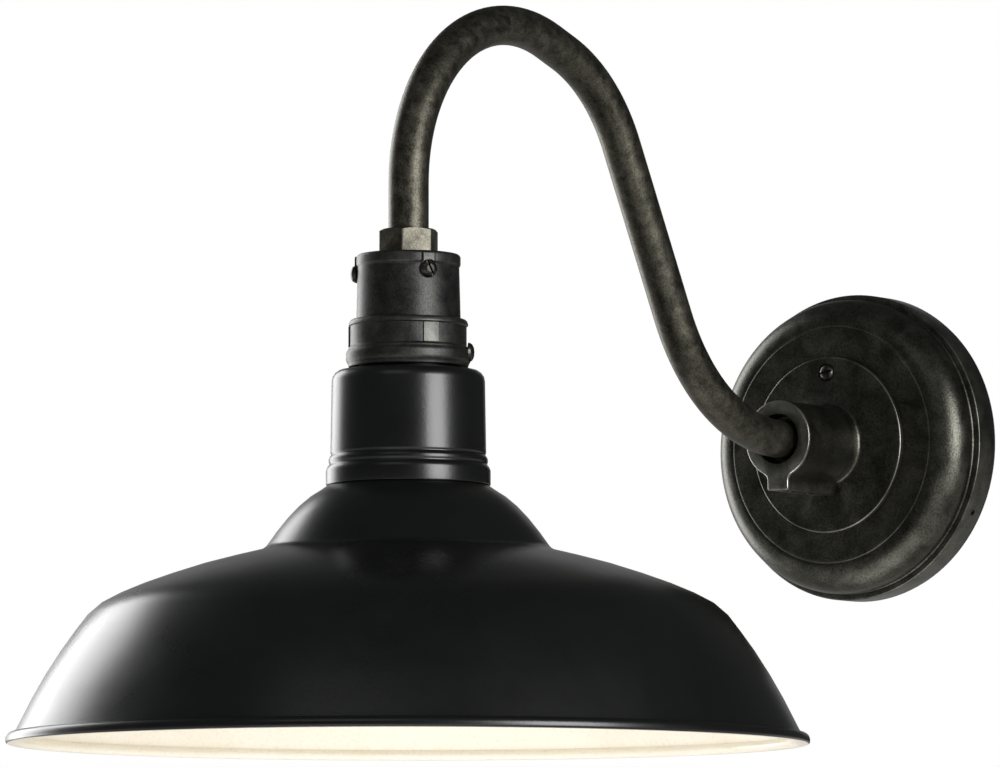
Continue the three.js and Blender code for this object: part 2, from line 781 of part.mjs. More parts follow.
function lampholder() {
  const low = lampTop - lampLength;
  const bore = shellRadius + gap;
  const lower = lampRadius - lampLowerStep;
  const waist = lampTop - lampWaist;
  const floor = lampTop - lampFloor;
  const outline = [
    [0, lampTop],
    [lampRadius - edgeBreak, lampTop],
    [lampRadius, lampTop - edgeBreak],
    [lampRadius, waist],
    [lower, waist - lampLowerStep],
    [lower, low + lampEdge],
    [lower - lampEdge, low],
    [bore + edgeBreak, low],
    [bore, low + edgeBreak],
    [bore, floor],
    [0, floor],
  ];
  let body = turned(outline, headSides);
  const postTop = bracketLevel - gap;
  const pilotFloor = lampTop - smallScrewGrip - overrun;
  const post = rod(postRadius, lampTop - overrun, postTop, smallBoreSides);
  const pilot = rod(smallScrew.shank + gap, pilotFloor, postTop + overrun, screwSides);
  for (const side of [1, -1]) {
    const y = (side * postSpacing) / 2;
    body = body.add(moved(post, 0, y, 0)).subtract(moved(pilot, 0, y, 0));
    body = body.subtract(moved(pilot, (side * terminalSpacing) / 2, 0, 0));
  }
  const shellTop = low + shellRecess + shellLength;
  const shell = [
    [shellRadius, low + shellRecess],
    [shellRadius, shellTop],
    [shellRadius - shellWall, shellTop],
    [shellRadius - shellWall, low + shellRecess],
  ];
  const top = floor - gap;
  const strip = new THREE.Shape();
  strip.moveTo(contactReach, top);
  strip.lineTo(-contactReach / 2, top);
  strip.lineTo(-contactReach, top - contactSpring);
  strip.lineTo(contactReach / 3, top - contactSpring - contactThickness);
  strip.lineTo(contactReach / 3, top - contactSpring);
  strip.lineTo(-contactReach + 2 * contactThickness, top - contactSpring + contactThickness);
  strip.lineTo(-contactReach / 2 + contactThickness / 2, top - contactThickness);
  strip.lineTo(contactReach, top - contactThickness);
  strip.closePath();
  const flat = new THREE.ExtrudeGeometry(strip, { depth: contactWidth, bevelEnabled: false });
  const contact = solidOf(flat.rotateX(Math.PI / 2).translate(0, contactWidth / 2, 0));
  return [
    piece("lampholder_body", body, porcelain),
    piece("screw_shell", turned(shell, boreSides), brass),
    piece("centre_contact", contact, brass),
  ];
}

function lampScrews() {
  const pieces = [];
  const bracketSeat = bracketLevel + bracketThickness + gap;
  const plateTop = lampTop + gap + plateThickness;
  const long = slottedScrew(smallScrew, bracketSeat - lampTop + smallScrewGrip - overrun);
  const short = slottedScrew(smallScrew, plateTop - lampTop + smallScrewGrip - overrun);
  const plateMiddle = plateTop - plateThickness / 2;
  const plate = block(plateSize, plateSize, plateThickness, [0, 0, plateMiddle]);
  const hole = rod(smallScrew.shank + gap, lampTop, plateTop + overrun, screwSides);
  const drilled = plate.subtract(hole);
  const sides = { right: 1, left: -1 };
  const tinned = { right: brass, left: zincSteel };
  for (const [word, side] of Object.entries(sides)) {
    const x = (side * terminalSpacing) / 2;
    const y = (side * postSpacing) / 2;
    pieces.push(piece(`lampholder_screw_${word}`, moved(long, 0, y, bracketSeat), zincSteel));
    pieces.push(piece(`terminal_plate_${word}`, moved(drilled, x, 0, 0), tinned[word]));
    pieces.push(piece(`terminal_screw_${word}`, moved(short, x, 0, plateTop + gap), tinned[word]));
  }
  const ground = slottedScrew(smallScrew, 2 * bracketThickness);
  pieces.push(piece("bracket_ground_screw", moved(ground, ...groundPoint(), bracketSeat), zincSteel));
  return pieces;
}

// ---- shade ----

function shadeNeck() {
  const low = neckRadius;
  const high = neckRadius - neckTaper;
  const corner = [];
  for (let i = 0; i <= neckCornerSteps; i++) {
    const turn = (Math.PI / 2) * (1 - i / neckCornerSteps);
    corner.push([
      high - neckCorner + neckCorner * Math.cos(turn),
      neckTop - neckCorner + neckCorner * Math.sin(turn),
    ]);
  }
  const inside = low - sheet - neckTaper;
  const outline = [
    [collarRadius - sheet, lipTop],
    [lipRadius - edgeBreak, lipTop],
    [lipRadius, lipTop - edgeBreak],
    [lipRadius, lipTop - lipHeight + edgeBreak],
    [lipRadius - edgeBreak, lipTop - lipHeight],
    [collarRadius, lipTop - lipHeight],
    [collarRadius, neckTop],
    ...corner,
    [low, grooveTop + grooveDepth],
    [low - grooveDepth, grooveTop - grooveDepth],
    [low + beadHigh / 2, grooveTop - beadHigh],
    [low + beadHigh, grooveTop - 2.5 * beadHigh],
    [low + beadHigh / 2, grooveTop - 4.5 * beadHigh],
    [bandRadius - edgeBreak, bandTop],
    [bandRadius, bandTop - 2 * edgeBreak],
    [bandRadius, neckBottom + edgeBreak],
    [bandRadius - edgeBreak, neckBottom],
    [bandRadius - sheet, neckBottom],
    [bandRadius - sheet, bandTop],
    [inside, bandTop + edgeBreak],
    [inside, neckTop - neckCorner - sheet],
    [inside - neckCorner + sheet, neckTop - sheet],
    [collarRadius - sheet, neckTop - sheet],
  ];
  return piece("shade_neck", turned(outline, headSides), blackEnamel);
}

function shadeReflector() {
  const domeFoot = [bandRadius + gap, neckBottom - gap - edgeBreak];
  const crease = [creaseRadius, creaseZ];
  const shoulder = [shoulderRadius, shoulderZ];
  const skirt = [skirtRadius, skirtZ];
  const rimTop = rimZ + rimHeight;
  const rimInner = shadeRadius - rimWidth;
  const skin = [
    [upstandRadius, bandTop - gap],
    [upstandRadius, neckBottom - gap],
    ...arcPoints(domeFoot, crease, domeRise, arcFacets),
    ...arcPoints([creaseRadius + sheet, creaseZ - edgeBreak], shoulder, shoulderRise, arcFacets / 2),
    ...arcPoints(shoulder, skirt, breakRise, arcFacets / 2).slice(1),
    ...arcPoints(skirt, [rimInner, rimTop], skirtRise, arcFacets).slice(1),
  ];
  const closed = walled(skin, sheet);
  const bead = [
    [shadeRadius - rimRound, rimTop - rimRound / 2],
    [shadeRadius, rimTop - 2 * rimRound],
    [shadeRadius, rimZ + rimRound],
    [shadeRadius - rimRound, rimZ],
    [rimInner + rimRound / 2, rimZ],
    [rimInner - rimRound / 2, rimZ + rimRound],
    [rimInner - rimRound / 2, rimTop - 2 * rimRound],
  ];
  closed.splice(skin.length, 0, ...bead);
  return piece("shade_reflector", turned(closed, shadeSides), blackEnamel);
}

function shadeSeal() {
  const bottom = capTop - capHeight;
  const outline = [
    [lipRadius, lipTop + gap],
    [lipRadius, bottom - gap],
    [collarRadius - sheet, bottom - gap],
    [collarRadius - sheet, lipTop + gap],
  ];
  return piece("shade_seal", turned(outline, boreSides), rubber);
}

// ---- leads and connectors, in the frame of the wall plate ----

function leads() {
  const middle = new Route(armPoints());
  const last = middle.points.length - 1;
  const names = { live_lead: 90, neutral_lead: 210, ground_lead: 330 };
  const finishes = { live_lead: leadBlack, neutral_lead: leadWhite, ground_lead: leadGreen };
  const terminal = lampTop + plateThickness + smallScrew.rise + 3 * gap;
  const bracketTop = bracketLevel + bracketThickness + smallScrew.rise + 2 * gap;
  const [groundX, groundY] = groundPoint();
  const ends = {
    live_lead: [terminalSpacing / 2, 0, terminal],
    neutral_lead: [-terminalSpacing / 2, 0, terminal],
    ground_lead: [groundX, groundY, bracketTop],
  };
  const pieces = [];
  for (const [name, angle] of Object.entries(names)) {
    const turn = radians(angle);
    const [side, lift] = [leadSpread * Math.cos(turn), leadSpread * Math.sin(turn)];
    const nutSide = connectorSpread * Math.cos(turn);
    const nutLift = connectorSpread * Math.sin(turn);
    const spigotEnd = discBack + spigotLength;
    const mouth = spigotEnd + connectorStandOff;
    const corners = [
      new THREE.Vector3(nutSide, mouth + connectorMouth / 2, nutLift),
      new THREE.Vector3(nutSide, mouth - connectorMouth / 2, nutLift),
      new THREE.Vector3(side, spigotEnd, lift),
    ];
    for (let i = 0; i <= last; i++) {
      const along = middle.getTangentAt(i / last);
      const at = middle.getPointAt(i / last);
      corners.push(at.add(new THREE.Vector3(side, along.z * lift, -along.y * lift)));
    }
    const [x, y, z] = ends[name];
    const below = tubeHeadEnd - bushingFlange - leadRadius;
    corners.push(new THREE.Vector3(side, -lift - reach, below));
    corners.push(new THREE.Vector3(x, y - reach, Math.min(z + leadDrop, below - 2 * leadRadius)));
    corners.push(new THREE.Vector3(x, y - reach, z));
    const tube = sweptTube(corners, leadRadius, leadSides, 0);
    pieces.push(piece(name, tube, finishes[name]));
    const nut = turned(
      [
        [0, connectorLength],
        [connectorRadius * 0.6, connectorLength],
        [connectorRadius * 0.8, connectorLength * 0.35],
        [connectorRadius, 0],
        [leadRadius + overrun, 0],
        [leadRadius + overrun, connectorMouth],
        [0, connectorMouth],
      ],
      screwSides,
    );
    const laid = nut.rotate([-90, 0, 0]).translate([nutSide, mouth, nutLift]);
    pieces.push(piece(name.replace("lead", "connector"), laid, finishes[name]));
  }
  return pieces;
}

// ---- assembly ----

const lantern = new THREE.Group();
const head = new THREE.Group();
head.position.set(0, -reach, 0);
const [wallEndBushing, headEndBushing] = bushings();
lantern.add(backplate(), wallGasket(), mountingStrap(), ...wallFixings(), armFlange(), ...grubScrews());
lantern.add(arm(), wallEndBushing, ...leads());
head.add(headEndBushing, ...hexNuts(), socketCap(), ...capScrews());
head.add(shadeHolder(), ...shadeScrews(), lampBracket(), ...lampholder(), ...lampScrews());
head.add(shadeSeal(), shadeNeck(), shadeReflector());
lantern.add(head);

export default lantern;
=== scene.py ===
import math

import bmesh
import bpy
from mathutils import Matrix, Vector


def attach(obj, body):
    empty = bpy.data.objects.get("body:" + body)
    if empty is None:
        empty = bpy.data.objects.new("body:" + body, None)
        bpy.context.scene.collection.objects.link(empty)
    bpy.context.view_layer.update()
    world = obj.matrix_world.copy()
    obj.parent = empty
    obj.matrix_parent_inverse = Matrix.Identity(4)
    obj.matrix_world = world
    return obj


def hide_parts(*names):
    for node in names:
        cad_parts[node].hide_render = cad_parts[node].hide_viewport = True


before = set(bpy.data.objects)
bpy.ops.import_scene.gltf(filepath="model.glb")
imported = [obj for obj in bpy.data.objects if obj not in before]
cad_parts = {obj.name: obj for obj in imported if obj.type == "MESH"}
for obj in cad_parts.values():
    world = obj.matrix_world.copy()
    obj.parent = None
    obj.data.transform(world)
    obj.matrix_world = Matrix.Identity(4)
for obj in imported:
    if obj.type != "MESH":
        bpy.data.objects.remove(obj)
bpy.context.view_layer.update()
print("frame loaded:", len(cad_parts), "nodes")

# Pieces are drawn in millimetres and turned to metres as they are finished.
mm = 0.001
fullTurn = 2 * math.pi
lantern = {
    "reach": 366,  # wall to the axis of the shade
    "tubeBore": 9.3,  # radius of the holes that take the arm's tube
    "fixingRise": 34.925,  # plate screw above the centre; its stud is as far below
    "fixingHole": 2.4,  # radius of the holes for both
    "groundScrewDrop": 18,  # below the centre
    "grubPlaces": {"arm_set_screw_front": 65.6, "arm_set_screw_rear": 50.6},  # out from the wall
    "headAngles": (-30, 90, 210),  # ribs of the shade holder and screws of the cap, in degrees
    "headScrewHole": 2.3,
}
atHead = Matrix.Translation((0, -lantern["reach"], 0))  # the shade's own axis
outFromWall = Matrix.Rotation(math.pi / 2, 4, "X")  # a piece drawn standing up points out of the wall


def linear(hexColour):
    channels = [int(hexColour[start:start + 2], 16) / 255 for start in (1, 3, 5)]
    flat = [value / 12.92 if value <= 0.04045 else ((value + 0.055) / 1.055) ** 2.4 for value in channels]
    return (*flat, 1)


# Settings are keyed by socket or property, and links by socket.
def addNode(tree, kind, settings=None, links=None):
    node = tree.nodes.new(kind)
    for key, value in (settings or {}).items():
        if key == "ramp":
            stops = node.color_ramp.elements
            for stop, (place, colour) in zip([stops[0], stops[1]], value):
                stop.position = place
                stop.color = linear(colour)
        elif isinstance(key, int) or key in node.inputs:
            node.inputs[key].default_value = value
        else:
            setattr(node, key, value)
    for key, source in (links or {}).items():
        tree.links.new(source, node.inputs[key])
    return node


# A finish in two tones that drift over patchMm, with a grain of grainMm that also gives the bump,
# and bare, smoother metal or paint where the mesh's "wear" is high.
def makeFinish(name, look):
    material = bpy.data.materials.new(name)
    material.use_nodes = True
    tree = material.node_tree
    shader = tree.nodes["Principled BSDF"]
    for key, value in look["shader"].items():
        shader.inputs[key].default_value = value
    place = addNode(tree, "ShaderNodeTexCoord").outputs["Object"]
    stretch = addNode(tree, "ShaderNodeMapping", {"Scale": look.get("stretch", (1, 1, 1))},
                      {"Vector": place})
    patch = addNode(tree, "ShaderNodeTexNoise",
                    {"Scale": 1 / (look["patchMm"] * mm), "Detail": 5, "Roughness": 0.62, "Distortion": 0.4},
                    {"Vector": stretch.outputs[0]})
    grain = addNode(tree, "ShaderNodeTexNoise",
                    {"Scale": 1 / (look["grainMm"] * mm), "Detail": 3, "Roughness": 0.55},
                    {"Vector": stretch.outputs[0]})
    tone = addNode(tree, "ShaderNodeValToRGB", {"ramp": look["tones"]}, {"Fac": patch.outputs["Fac"]})
    speck = addNode(tree, "ShaderNodeValToRGB", {"ramp": look["specks"]}, {"Fac": grain.outputs["Fac"]})
    colour = addNode(tree, "ShaderNodeMix", {"data_type": "RGBA", "blend_type": "MULTIPLY", 0: 1.0},
                     {6: tone.outputs[0], 7: speck.outputs[0]})
    rough = addNode(tree, "ShaderNodeMapRange",
                    {"From Min": 0.3, "From Max": 0.7,
                     "To Min": look["rough"][0], "To Max": look["rough"][1]},
                    {"Value": patch.outputs["Fac"]})
    colourOut, roughOut = colour.outputs[2], rough.outputs[0]
    if "wornTo" in look:
        wear = addNode(tree, "ShaderNodeAttribute", {"attribute_name": "wear"})
        broken = addNode(tree, "ShaderNodeMath", {"operation": "MULTIPLY_ADD", 1: 1.6, 2: -0.3},
                         {0: patch.outputs["Fac"]})
        amount = addNode(tree, "ShaderNodeMath", {"operation": "MULTIPLY", "use_clamp": True},
                         {0: wear.outputs["Fac"], 1: broken.outputs[0]})
        worn = addNode(tree, "ShaderNodeMix", {"data_type": "RGBA", 7: linear(look["wornTo"])},
                       {0: amount.outputs[0], 6: colourOut})
        polished = addNode(tree, "ShaderNodeMix", {"data_type": "FLOAT", 3: look["rough"][0] * 0.8},
                           {0: amount.outputs[0], 2: roughOut})
        colourOut, roughOut = worn.outputs[2], polished.outputs[0]
    bump = addNode(tree, "ShaderNodeBump",
                   {"Strength": look["bump"], "Distance": look["grainMm"] * mm * 0.3},
                   {"Height": grain.outputs["Fac"]})
    tree.links.new(colourOut, shader.inputs["Base Color"])
    tree.links.new(roughOut, shader.inputs["Roughness"])
    tree.links.new(bump.outputs[0], shader.inputs["Normal"])
    return material


finishes = {
    # black vitreous enamel on spun steel: deep gloss, a faint orange peel that softens reflections
    "blackEnamel": {
        "shader": {"Metallic": 0.0, "IOR": 1.5},
        "tones": [(0.3, "#0d0e0f"), (0.7, "#131415")], "specks": [(0.2, "#e8e8e8"), (0.5, "#ffffff")],
        "patchMm": 60, "grainMm": 1.6, "rough": (0.26, 0.32), "bump": 0.08,
    },
    # warm white enamel inside the shade: soft gloss, slightly uneven thickness
    "whiteEnamel": {
        "shader": {"Metallic": 0.0, "IOR": 1.5, "Coat Weight": 0.15},
        "tones": [(0.3, "#f4ecdc"), (0.7, "#f8f2e5")], "specks": [(0.2, "#f4f2ee"), (0.5, "#ffffff")],
        "patchMm": 45, "grainMm": 1.6, "rough": (0.3, 0.4), "bump": 0.08,
    },
    # dark lacquer rubbed back over a sand casting: sooty, pitted, with bright rubbed edges
    "castPatina": {
        "shader": {"Metallic": 0.9},
        "tones": [(0.32, "#3a3a35"), (0.7, "#5c5b54")], "specks": [(0.25, "#9a9a92"), (0.6, "#ffffff")],
        "patchMm": 12, "grainMm": 0.9, "rough": (0.3, 0.4), "bump": 0.3, "wornTo": "#b4b3aa",
    },
    # bronze lacquer on drawn steel tube, mottled by hand rubbing
    "tubePatina": {
        "shader": {"Metallic": 0.9},
        "tones": [(0.34, "#3b3a33"), (0.66, "#615e54")], "specks": [(0.25, "#96948a"), (0.6, "#ffffff")],
        "patchMm": 6, "grainMm": 0.8, "rough": (0.4, 0.5), "bump": 0.3, "wornTo": "#7d7a6e",
    },
    # satin black paint on cast aluminium: fine sandy skin, silvery where the corners are handled
    "satinCasting": {
        "shader": {"Metallic": 0.8},
        "tones": [(0.32, "#2c2d2d"), (0.7, "#464644")], "specks": [(0.25, "#a2a2a0"), (0.6, "#ffffff")],
        "patchMm": 9, "grainMm": 0.7, "rough": (0.38, 0.5), "bump": 0.32, "wornTo": "#72726c",
    },
    # oil-blackened steel screws, brown in the low places
    "blackenedSteel": {
        "shader": {"Metallic": 0.85},
        "tones": [(0.35, "#1c1b19"), (0.65, "#363430")], "specks": [(0.25, "#9a9a96"), (0.6, "#ffffff")],
        "patchMm": 2.5, "grainMm": 0.4, "rough": (0.3, 0.42), "bump": 0.25, "wornTo": "#6a6862",
    },
    # zinc plating on pressed steel: bluish grey, drawn along the strip
    "zincSteel": {
        "shader": {"Metallic": 1.0},
        "tones": [(0.3, "#8f9599"), (0.7, "#b3b7b8")], "specks": [(0.25, "#c2c2c2"), (0.6, "#ffffff")],
        "patchMm": 6, "grainMm": 0.5, "rough": (0.28, 0.42), "bump": 0.15, "stretch": (1, 1, 0.2),
    },
    # glazed electrical porcelain: milky, pooled a little darker
    "porcelain": {
        "shader": {"Metallic": 0.0, "IOR": 1.5, "Coat Weight": 0.6, "Coat Roughness": 0.05},
        "tones": [(0.3, "#e6e1d5"), (0.7, "#f4f0e8")], "specks": [(0.2, "#f0eee8"), (0.5, "#ffffff")],
        "patchMm": 12, "grainMm": 1.2, "rough": (0.12, 0.2), "bump": 0.05,
    },
    # drawn brass of the screw shell and contacts, slightly tarnished
    "brass": {
        "shader": {"Metallic": 1.0},
        "tones": [(0.3, "#a6803a"), (0.7, "#cfab5e")], "specks": [(0.25, "#c8c0b0"), (0.6, "#ffffff")],
        "patchMm": 5, "grainMm": 0.5, "rough": (0.22, 0.36), "bump": 0.1,
    },
    # moulded black EPDM gasket: dull, finely pored
    "gasketRubber": {
        "shader": {"Metallic": 0.0, "IOR": 1.5},
        "tones": [(0.3, "#161616"), (0.7, "#222221")], "specks": [(0.25, "#909090"), (0.6, "#ffffff")],
        "patchMm": 8, "grainMm": 0.5, "rough": (0.7, 0.85), "bump": 0.4,
    },
    # moulded nylon: natural, waxy
    "nylon": {
        "shader": {"Metallic": 0.0, "IOR": 1.53, "Subsurface Weight": 0.1},
        "tones": [(0.3, "#d2cdbe"), (0.7, "#e2ded2")], "specks": [(0.25, "#e0e0e0"), (0.6, "#ffffff")],
        "patchMm": 5, "grainMm": 0.5, "rough": (0.4, 0.5), "bump": 0.1,
    },
    # PVC insulation and wire connectors, moulded in three colours
    "blackVinyl": {
        "shader": {"Metallic": 0.0, "IOR": 1.52},
        "tones": [(0.3, "#111111"), (0.7, "#1b1b1b")], "specks": [(0.25, "#b0b0b0"), (0.6, "#ffffff")],
        "patchMm": 4, "grainMm": 0.4, "rough": (0.35, 0.45), "bump": 0.1,
    },
    "whiteVinyl": {
        "shader": {"Metallic": 0.0, "IOR": 1.52},
        "tones": [(0.3, "#d8d5cc"), (0.7, "#e8e6df")], "specks": [(0.25, "#dcdcdc"), (0.6, "#ffffff")],
        "patchMm": 4, "grainMm": 0.4, "rough": (0.35, 0.45), "bump": 0.1,
    },
    "greenVinyl": {
        "shader": {"Metallic": 0.0, "IOR": 1.52},
        "tones": [(0.3, "#1d5c30"), (0.7, "#2a7640")], "specks": [(0.25, "#c0c0c0"), (0.6, "#ffffff")],
        "patchMm": 4, "grainMm": 0.4, "rough": (0.35, 0.45), "bump": 0.1,
    },
}
materials = {name: makeFinish(name, look) for name, look in finishes.items()}
print("materials made:", len(materials))


# The outline's points are (radius, height, rounding, wear); rounding turns that corner into an arc.
def drawOutline(bm, outline, closed):
    wear = bm.verts.layers.float.get("wear") or bm.verts.layers.float.new("wear")
    corners = []
    roundings = {}
    for radius, height, *extra in outline:
        corner = bm.verts.new((radius, 0, height))
        corner[wear] = extra[1] if len(extra) > 1 else 0
        corners.append(corner)
        if extra and extra[0]:
            roundings.setdefault(extra[0], []).append(corner)
    for here, there in zip(corners, corners[1:]):
        bm.edges.new((here, there))
    if closed:
        bm.edges.new((corners[-1], corners[0]))
    for rounding, group in roundings.items():
        bmesh.ops.bevel(bm, geom=group, offset=rounding, offset_type="OFFSET", segments=4,
                        profile=0.5, affect="VERTICES", clamp_overlap=True, material=-1)


def spun(outline, steps=96, closed=True, start=0):
    bm = bmesh.new()
    drawOutline(bm, outline, closed)
    bmesh.ops.spin(bm, geom=bm.verts[:] + bm.edges[:], cent=(0, 0, 0), axis=(0, 0, 1),
                   angle=fullTurn, steps=steps, use_merge=True)
    bmesh.ops.remove_doubles(bm, verts=bm.verts, dist=1e-4)
    bmesh.ops.rotate(bm, verts=bm.verts, matrix=Matrix.Rotation(start, 3, "Z"))
    bmesh.ops.recalc_face_normals(bm, faces=bm.faces)
    return bm


def roundEdges(bm, edges, rounding, segments=2, clamp=False):
    bmesh.ops.bevel(bm, geom=edges, offset=rounding, segments=segments, profile=0.5,
                    affect="EDGES", clamp_overlap=clamp, material=-1)


def uprightEdges(bm):
    return [edge for edge in bm.edges if abs(edge.verts[0].co.z - edge.verts[1].co.z) > 1]


def boxed(size, centre, rounding=0, segments=2):
    bm = bmesh.new()
    bmesh.ops.create_cube(bm, size=1)
    bmesh.ops.scale(bm, verts=bm.verts, vec=size)
    bmesh.ops.translate(bm, verts=bm.verts, vec=centre)
    if rounding:
        roundEdges(bm, bm.edges[:], rounding, segments, clamp=True)
    return bm


def rod(radius, low, high, sides=32):
    bm = bmesh.new()
    bmesh.ops.create_cone(bm, cap_ends=True, segments=sides, radius1=radius, radius2=radius,
                          depth=high - low)
    bmesh.ops.translate(bm, verts=bm.verts, vec=(0, 0, (low + high) / 2))
    return bm


# An open shell's faces point away from its middle before it is given a wall.
def faceOutwards(bm, face, outward):
    bmesh.ops.recalc_face_normals(bm, faces=bm.faces)
    if face.normal.dot(outward) < 0:
        bmesh.ops.reverse_faces(bm, faces=bm.faces)


# A piece standing on +Z is laid so that it points out from the head's axis.
def pointingOut(angle, distance, level):
    lay = Matrix.Rotation(math.pi / 2, 4, "Y")
    step = Matrix.Translation((distance, 0, level))
    return atHead @ Matrix.Rotation(math.radians(angle), 4, "Z") @ step @ lay


def fromHeadAxis(place):
    return math.hypot(place.x, place.y + lantern["reach"])


def vertsOf(made):
    return [item for item in made if isinstance(item, bmesh.types.BMVert)]


def edgesOf(made):
    return [item for item in made if isinstance(item, bmesh.types.BMEdge)]


def meshObject(bm, name, place=Matrix()):
    bm.transform(place)
    mesh = bpy.data.meshes.new(name)
    bm.to_mesh(mesh)
    bm.free()
    piece = bpy.data.objects.new(name, mesh)
    bpy.context.scene.collection.objects.link(piece)
    return piece


# Other shapes are joined to or cut from a piece, and then they are gone.
def combine(piece, others, operation):
    for other in others:
        step = piece.modifiers.new("step", "BOOLEAN")
        step.object = other
        step.operation = operation
        step.solver = "EXACT"
        bpy.context.view_layer.update()
        evaluated = piece.evaluated_get(bpy.context.evaluated_depsgraph_get())
        shaped = bpy.data.meshes.new_from_object(evaluated)
        piece.modifiers.clear()
        old = piece.data
        piece.data = shaped
        bpy.data.meshes.remove(old)
        bpy.data.objects.remove(other)


# Booleans mix up a mesh's wear, so a piece made by them has it set again by place.
def setWear(piece, wearAt):
    layer = piece.data.attributes.get("wear") or piece.data.attributes.new("wear", "FLOAT", "POINT")
    for vert, value in zip(piece.data.vertices, layer.data):
        value.value = wearAt(vert.co)


# Smooth faces with sharp creases, in metres, riding on a body and standing for its CAD nodes.
def finishPiece(piece, body, nodes, finish, crease=38, inside=None):
    bm = bmesh.new()
    bm.from_mesh(piece.data)
    bmesh.ops.remove_doubles(bm, verts=bm.verts, dist=1e-4)
    bmesh.ops.recalc_face_normals(bm, faces=bm.faces)
    for face in bm.faces:
        face.smooth = True
    for edge in bm.edges:
        edge.smooth = len(edge.link_faces) == 2 and edge.calc_face_angle(0) < math.radians(crease)
    bmesh.ops.scale(bm, verts=bm.verts, vec=(mm, mm, mm))
    bm.to_mesh(piece.data)
    bm.free()
    piece.data.materials.clear()
    piece.data.materials.append(materials[finish])
    if inside:
        piece.data.materials.append(materials[inside])
    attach(piece, body)
    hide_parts(*nodes)


shade = {
    "steps": 192,
    "sheet": 1.2,  # thickness of the steel
    # from the collar inside the neck's band over the dome, slope, shoulder and skirt to the rim
    "skin": [
        (35.1, -34), (35.1, -40, 1), (38.5, -42.4), (43.5, -45.6), (48.5, -49.8), (53.5, -55.1),
        (58.5, -61.4), (63.2, -68, 1), (65.6, -69.5, 0.8), (78, -72.5), (92, -76.2), (106, -80.7),
        (118, -85), (128, -89.2), (136, -93.4), (142, -98.6), (147.6, -106), (153.6, -114.4),
        (160.2, -124.8), (166.2, -135.4), (173.3, -149.4, 1), (174.8, -152.2),
    ],
    # the rolled rim, which the skin runs into
    "bead": [
        (172.6, -150.4, 0.8), (176.2, -150.5, 1.3), (177.8, -152.4, 1.1), (177.8, -155.3, 1.1),
        (173, -155.3, 1.3), (171.4, -152.9, 1.1),
    ],
    "whiteSlope": 0.6,  # faces that look down more steeply than this are white
}
shell = spun(shade["skin"], shade["steps"], closed=False)
lowest = min(shell.faces, key=lambda face: face.calc_center_median().z)
faceOutwards(shell, lowest, Vector((*lowest.calc_center_median().xy, 0)))
bmesh.ops.solidify(shell, geom=shell.faces[:], thickness=shade["sheet"])
reflector = meshObject(shell, "shadeReflector", atHead)
bead = meshObject(spun(shade["bead"], shade["steps"]), "shadeBead", atHead)
combine(reflector, [bead], "UNION")
finishPiece(reflector, "arm", ["shade_reflector"], "blackEnamel", 30, "whiteEnamel")
for face in reflector.data.polygons:  # white enamel covers whatever looks down or inward
    outward = Vector((face.center.x, face.center.y + lantern["reach"] * mm, 0)).normalized()
    outward.z = shade["whiteSlope"]
    face.material_index = 1 if face.normal.dot(outward) < 0 else 0
print("shade made")

neck = {
    "steps": 128,
    # lip, throat, shoulder, wall, two beads and the band over the shade, then back up inside
    "outline": [
        (20.9, 24.4), (24.4, 24.4, 0.6), (24.4, 21.6, 0.6), (22, 21.6), (22, 11, 0.4), (34, 11, 5),
        (34.6, -26, 0.4), (34.2, -27, 0.4), (35.2, -28.2, 0.7), (35.5, -29.6, 0.8), (35, -31.2, 0.5),
        (35.9, -32.2, 0.6), (36.6, -33.6, 0.8), (36.6, -40.5, 0.6), (35.4, -40.5), (35.4, -32.6),
        (32.4, -31.6), (32.4, 5, 2), (28, 9.8, 1), (20.9, 9.8),
    ],
}
neckPiece = meshObject(spun(neck["outline"], neck["steps"]), "shadeNeck", atHead)
finishPiece(neckPiece, "arm", ["shade_neck"], "blackEnamel", 50)
print("neck made")


# Each screw of the holder and the cap has a clearance hole and a flat seat for its head.
def seatScrews(piece, angles, size):
    cuts = []
    for angle in angles:
        hole, seat = rod(lantern["headScrewHole"], -4, 8, 24), rod(size["seatRadius"], 0, 8)
        cuts.append(meshObject(hole, "hole", pointingOut(angle, size["wallFrom"], size["screwZ"])))
        cuts.append(meshObject(seat, "seat", pointingOut(angle, size["seatFrom"], size["screwZ"])))
    combine(piece, cuts, "DIFFERENCE")


panelRadius = 25.9
holder = {
    "steps": 120,
    "startAngle": 1.5,  # so that the ribs' sides fall between two steps
    "panel": 0.7,  # depth of the panels between the ribs
    "panelLow": 21.6,
    "panelHigh": 30.4,
    "ribHalf": 7.5,  # degrees either side of each rib
    "screwAngles": {"shade_screw_right": 30, "shade_screw_left": 150},
    "screwZ": 18.7,
    "wallFrom": 24,
    "seatFrom": 26.6,
    "seatRadius": 4.7,
    "outline": [
        (23.6, 33.4, 0.4), (25.9, 33.4, 1), (26.6, 31.4, 0.5), (26.6, 30.8, 0.2), (panelRadius, 30.4, 0.2),
        (panelRadius, 21.6, 0.3), (26.7, 20.8, 0.4), (26.8, 20, 0.5), (27.8, 18.8, 0.8), (27.8, 15, 0.9),
        (26.8, 13.4, 0.7), (26.6, 12.2, 0.4), (25, 12.2), (25, 26), (23.6, 26),
    ],
}


def onPanel(place, margin):
    return holder["panelLow"] - margin < place.z < holder["panelHigh"] + margin


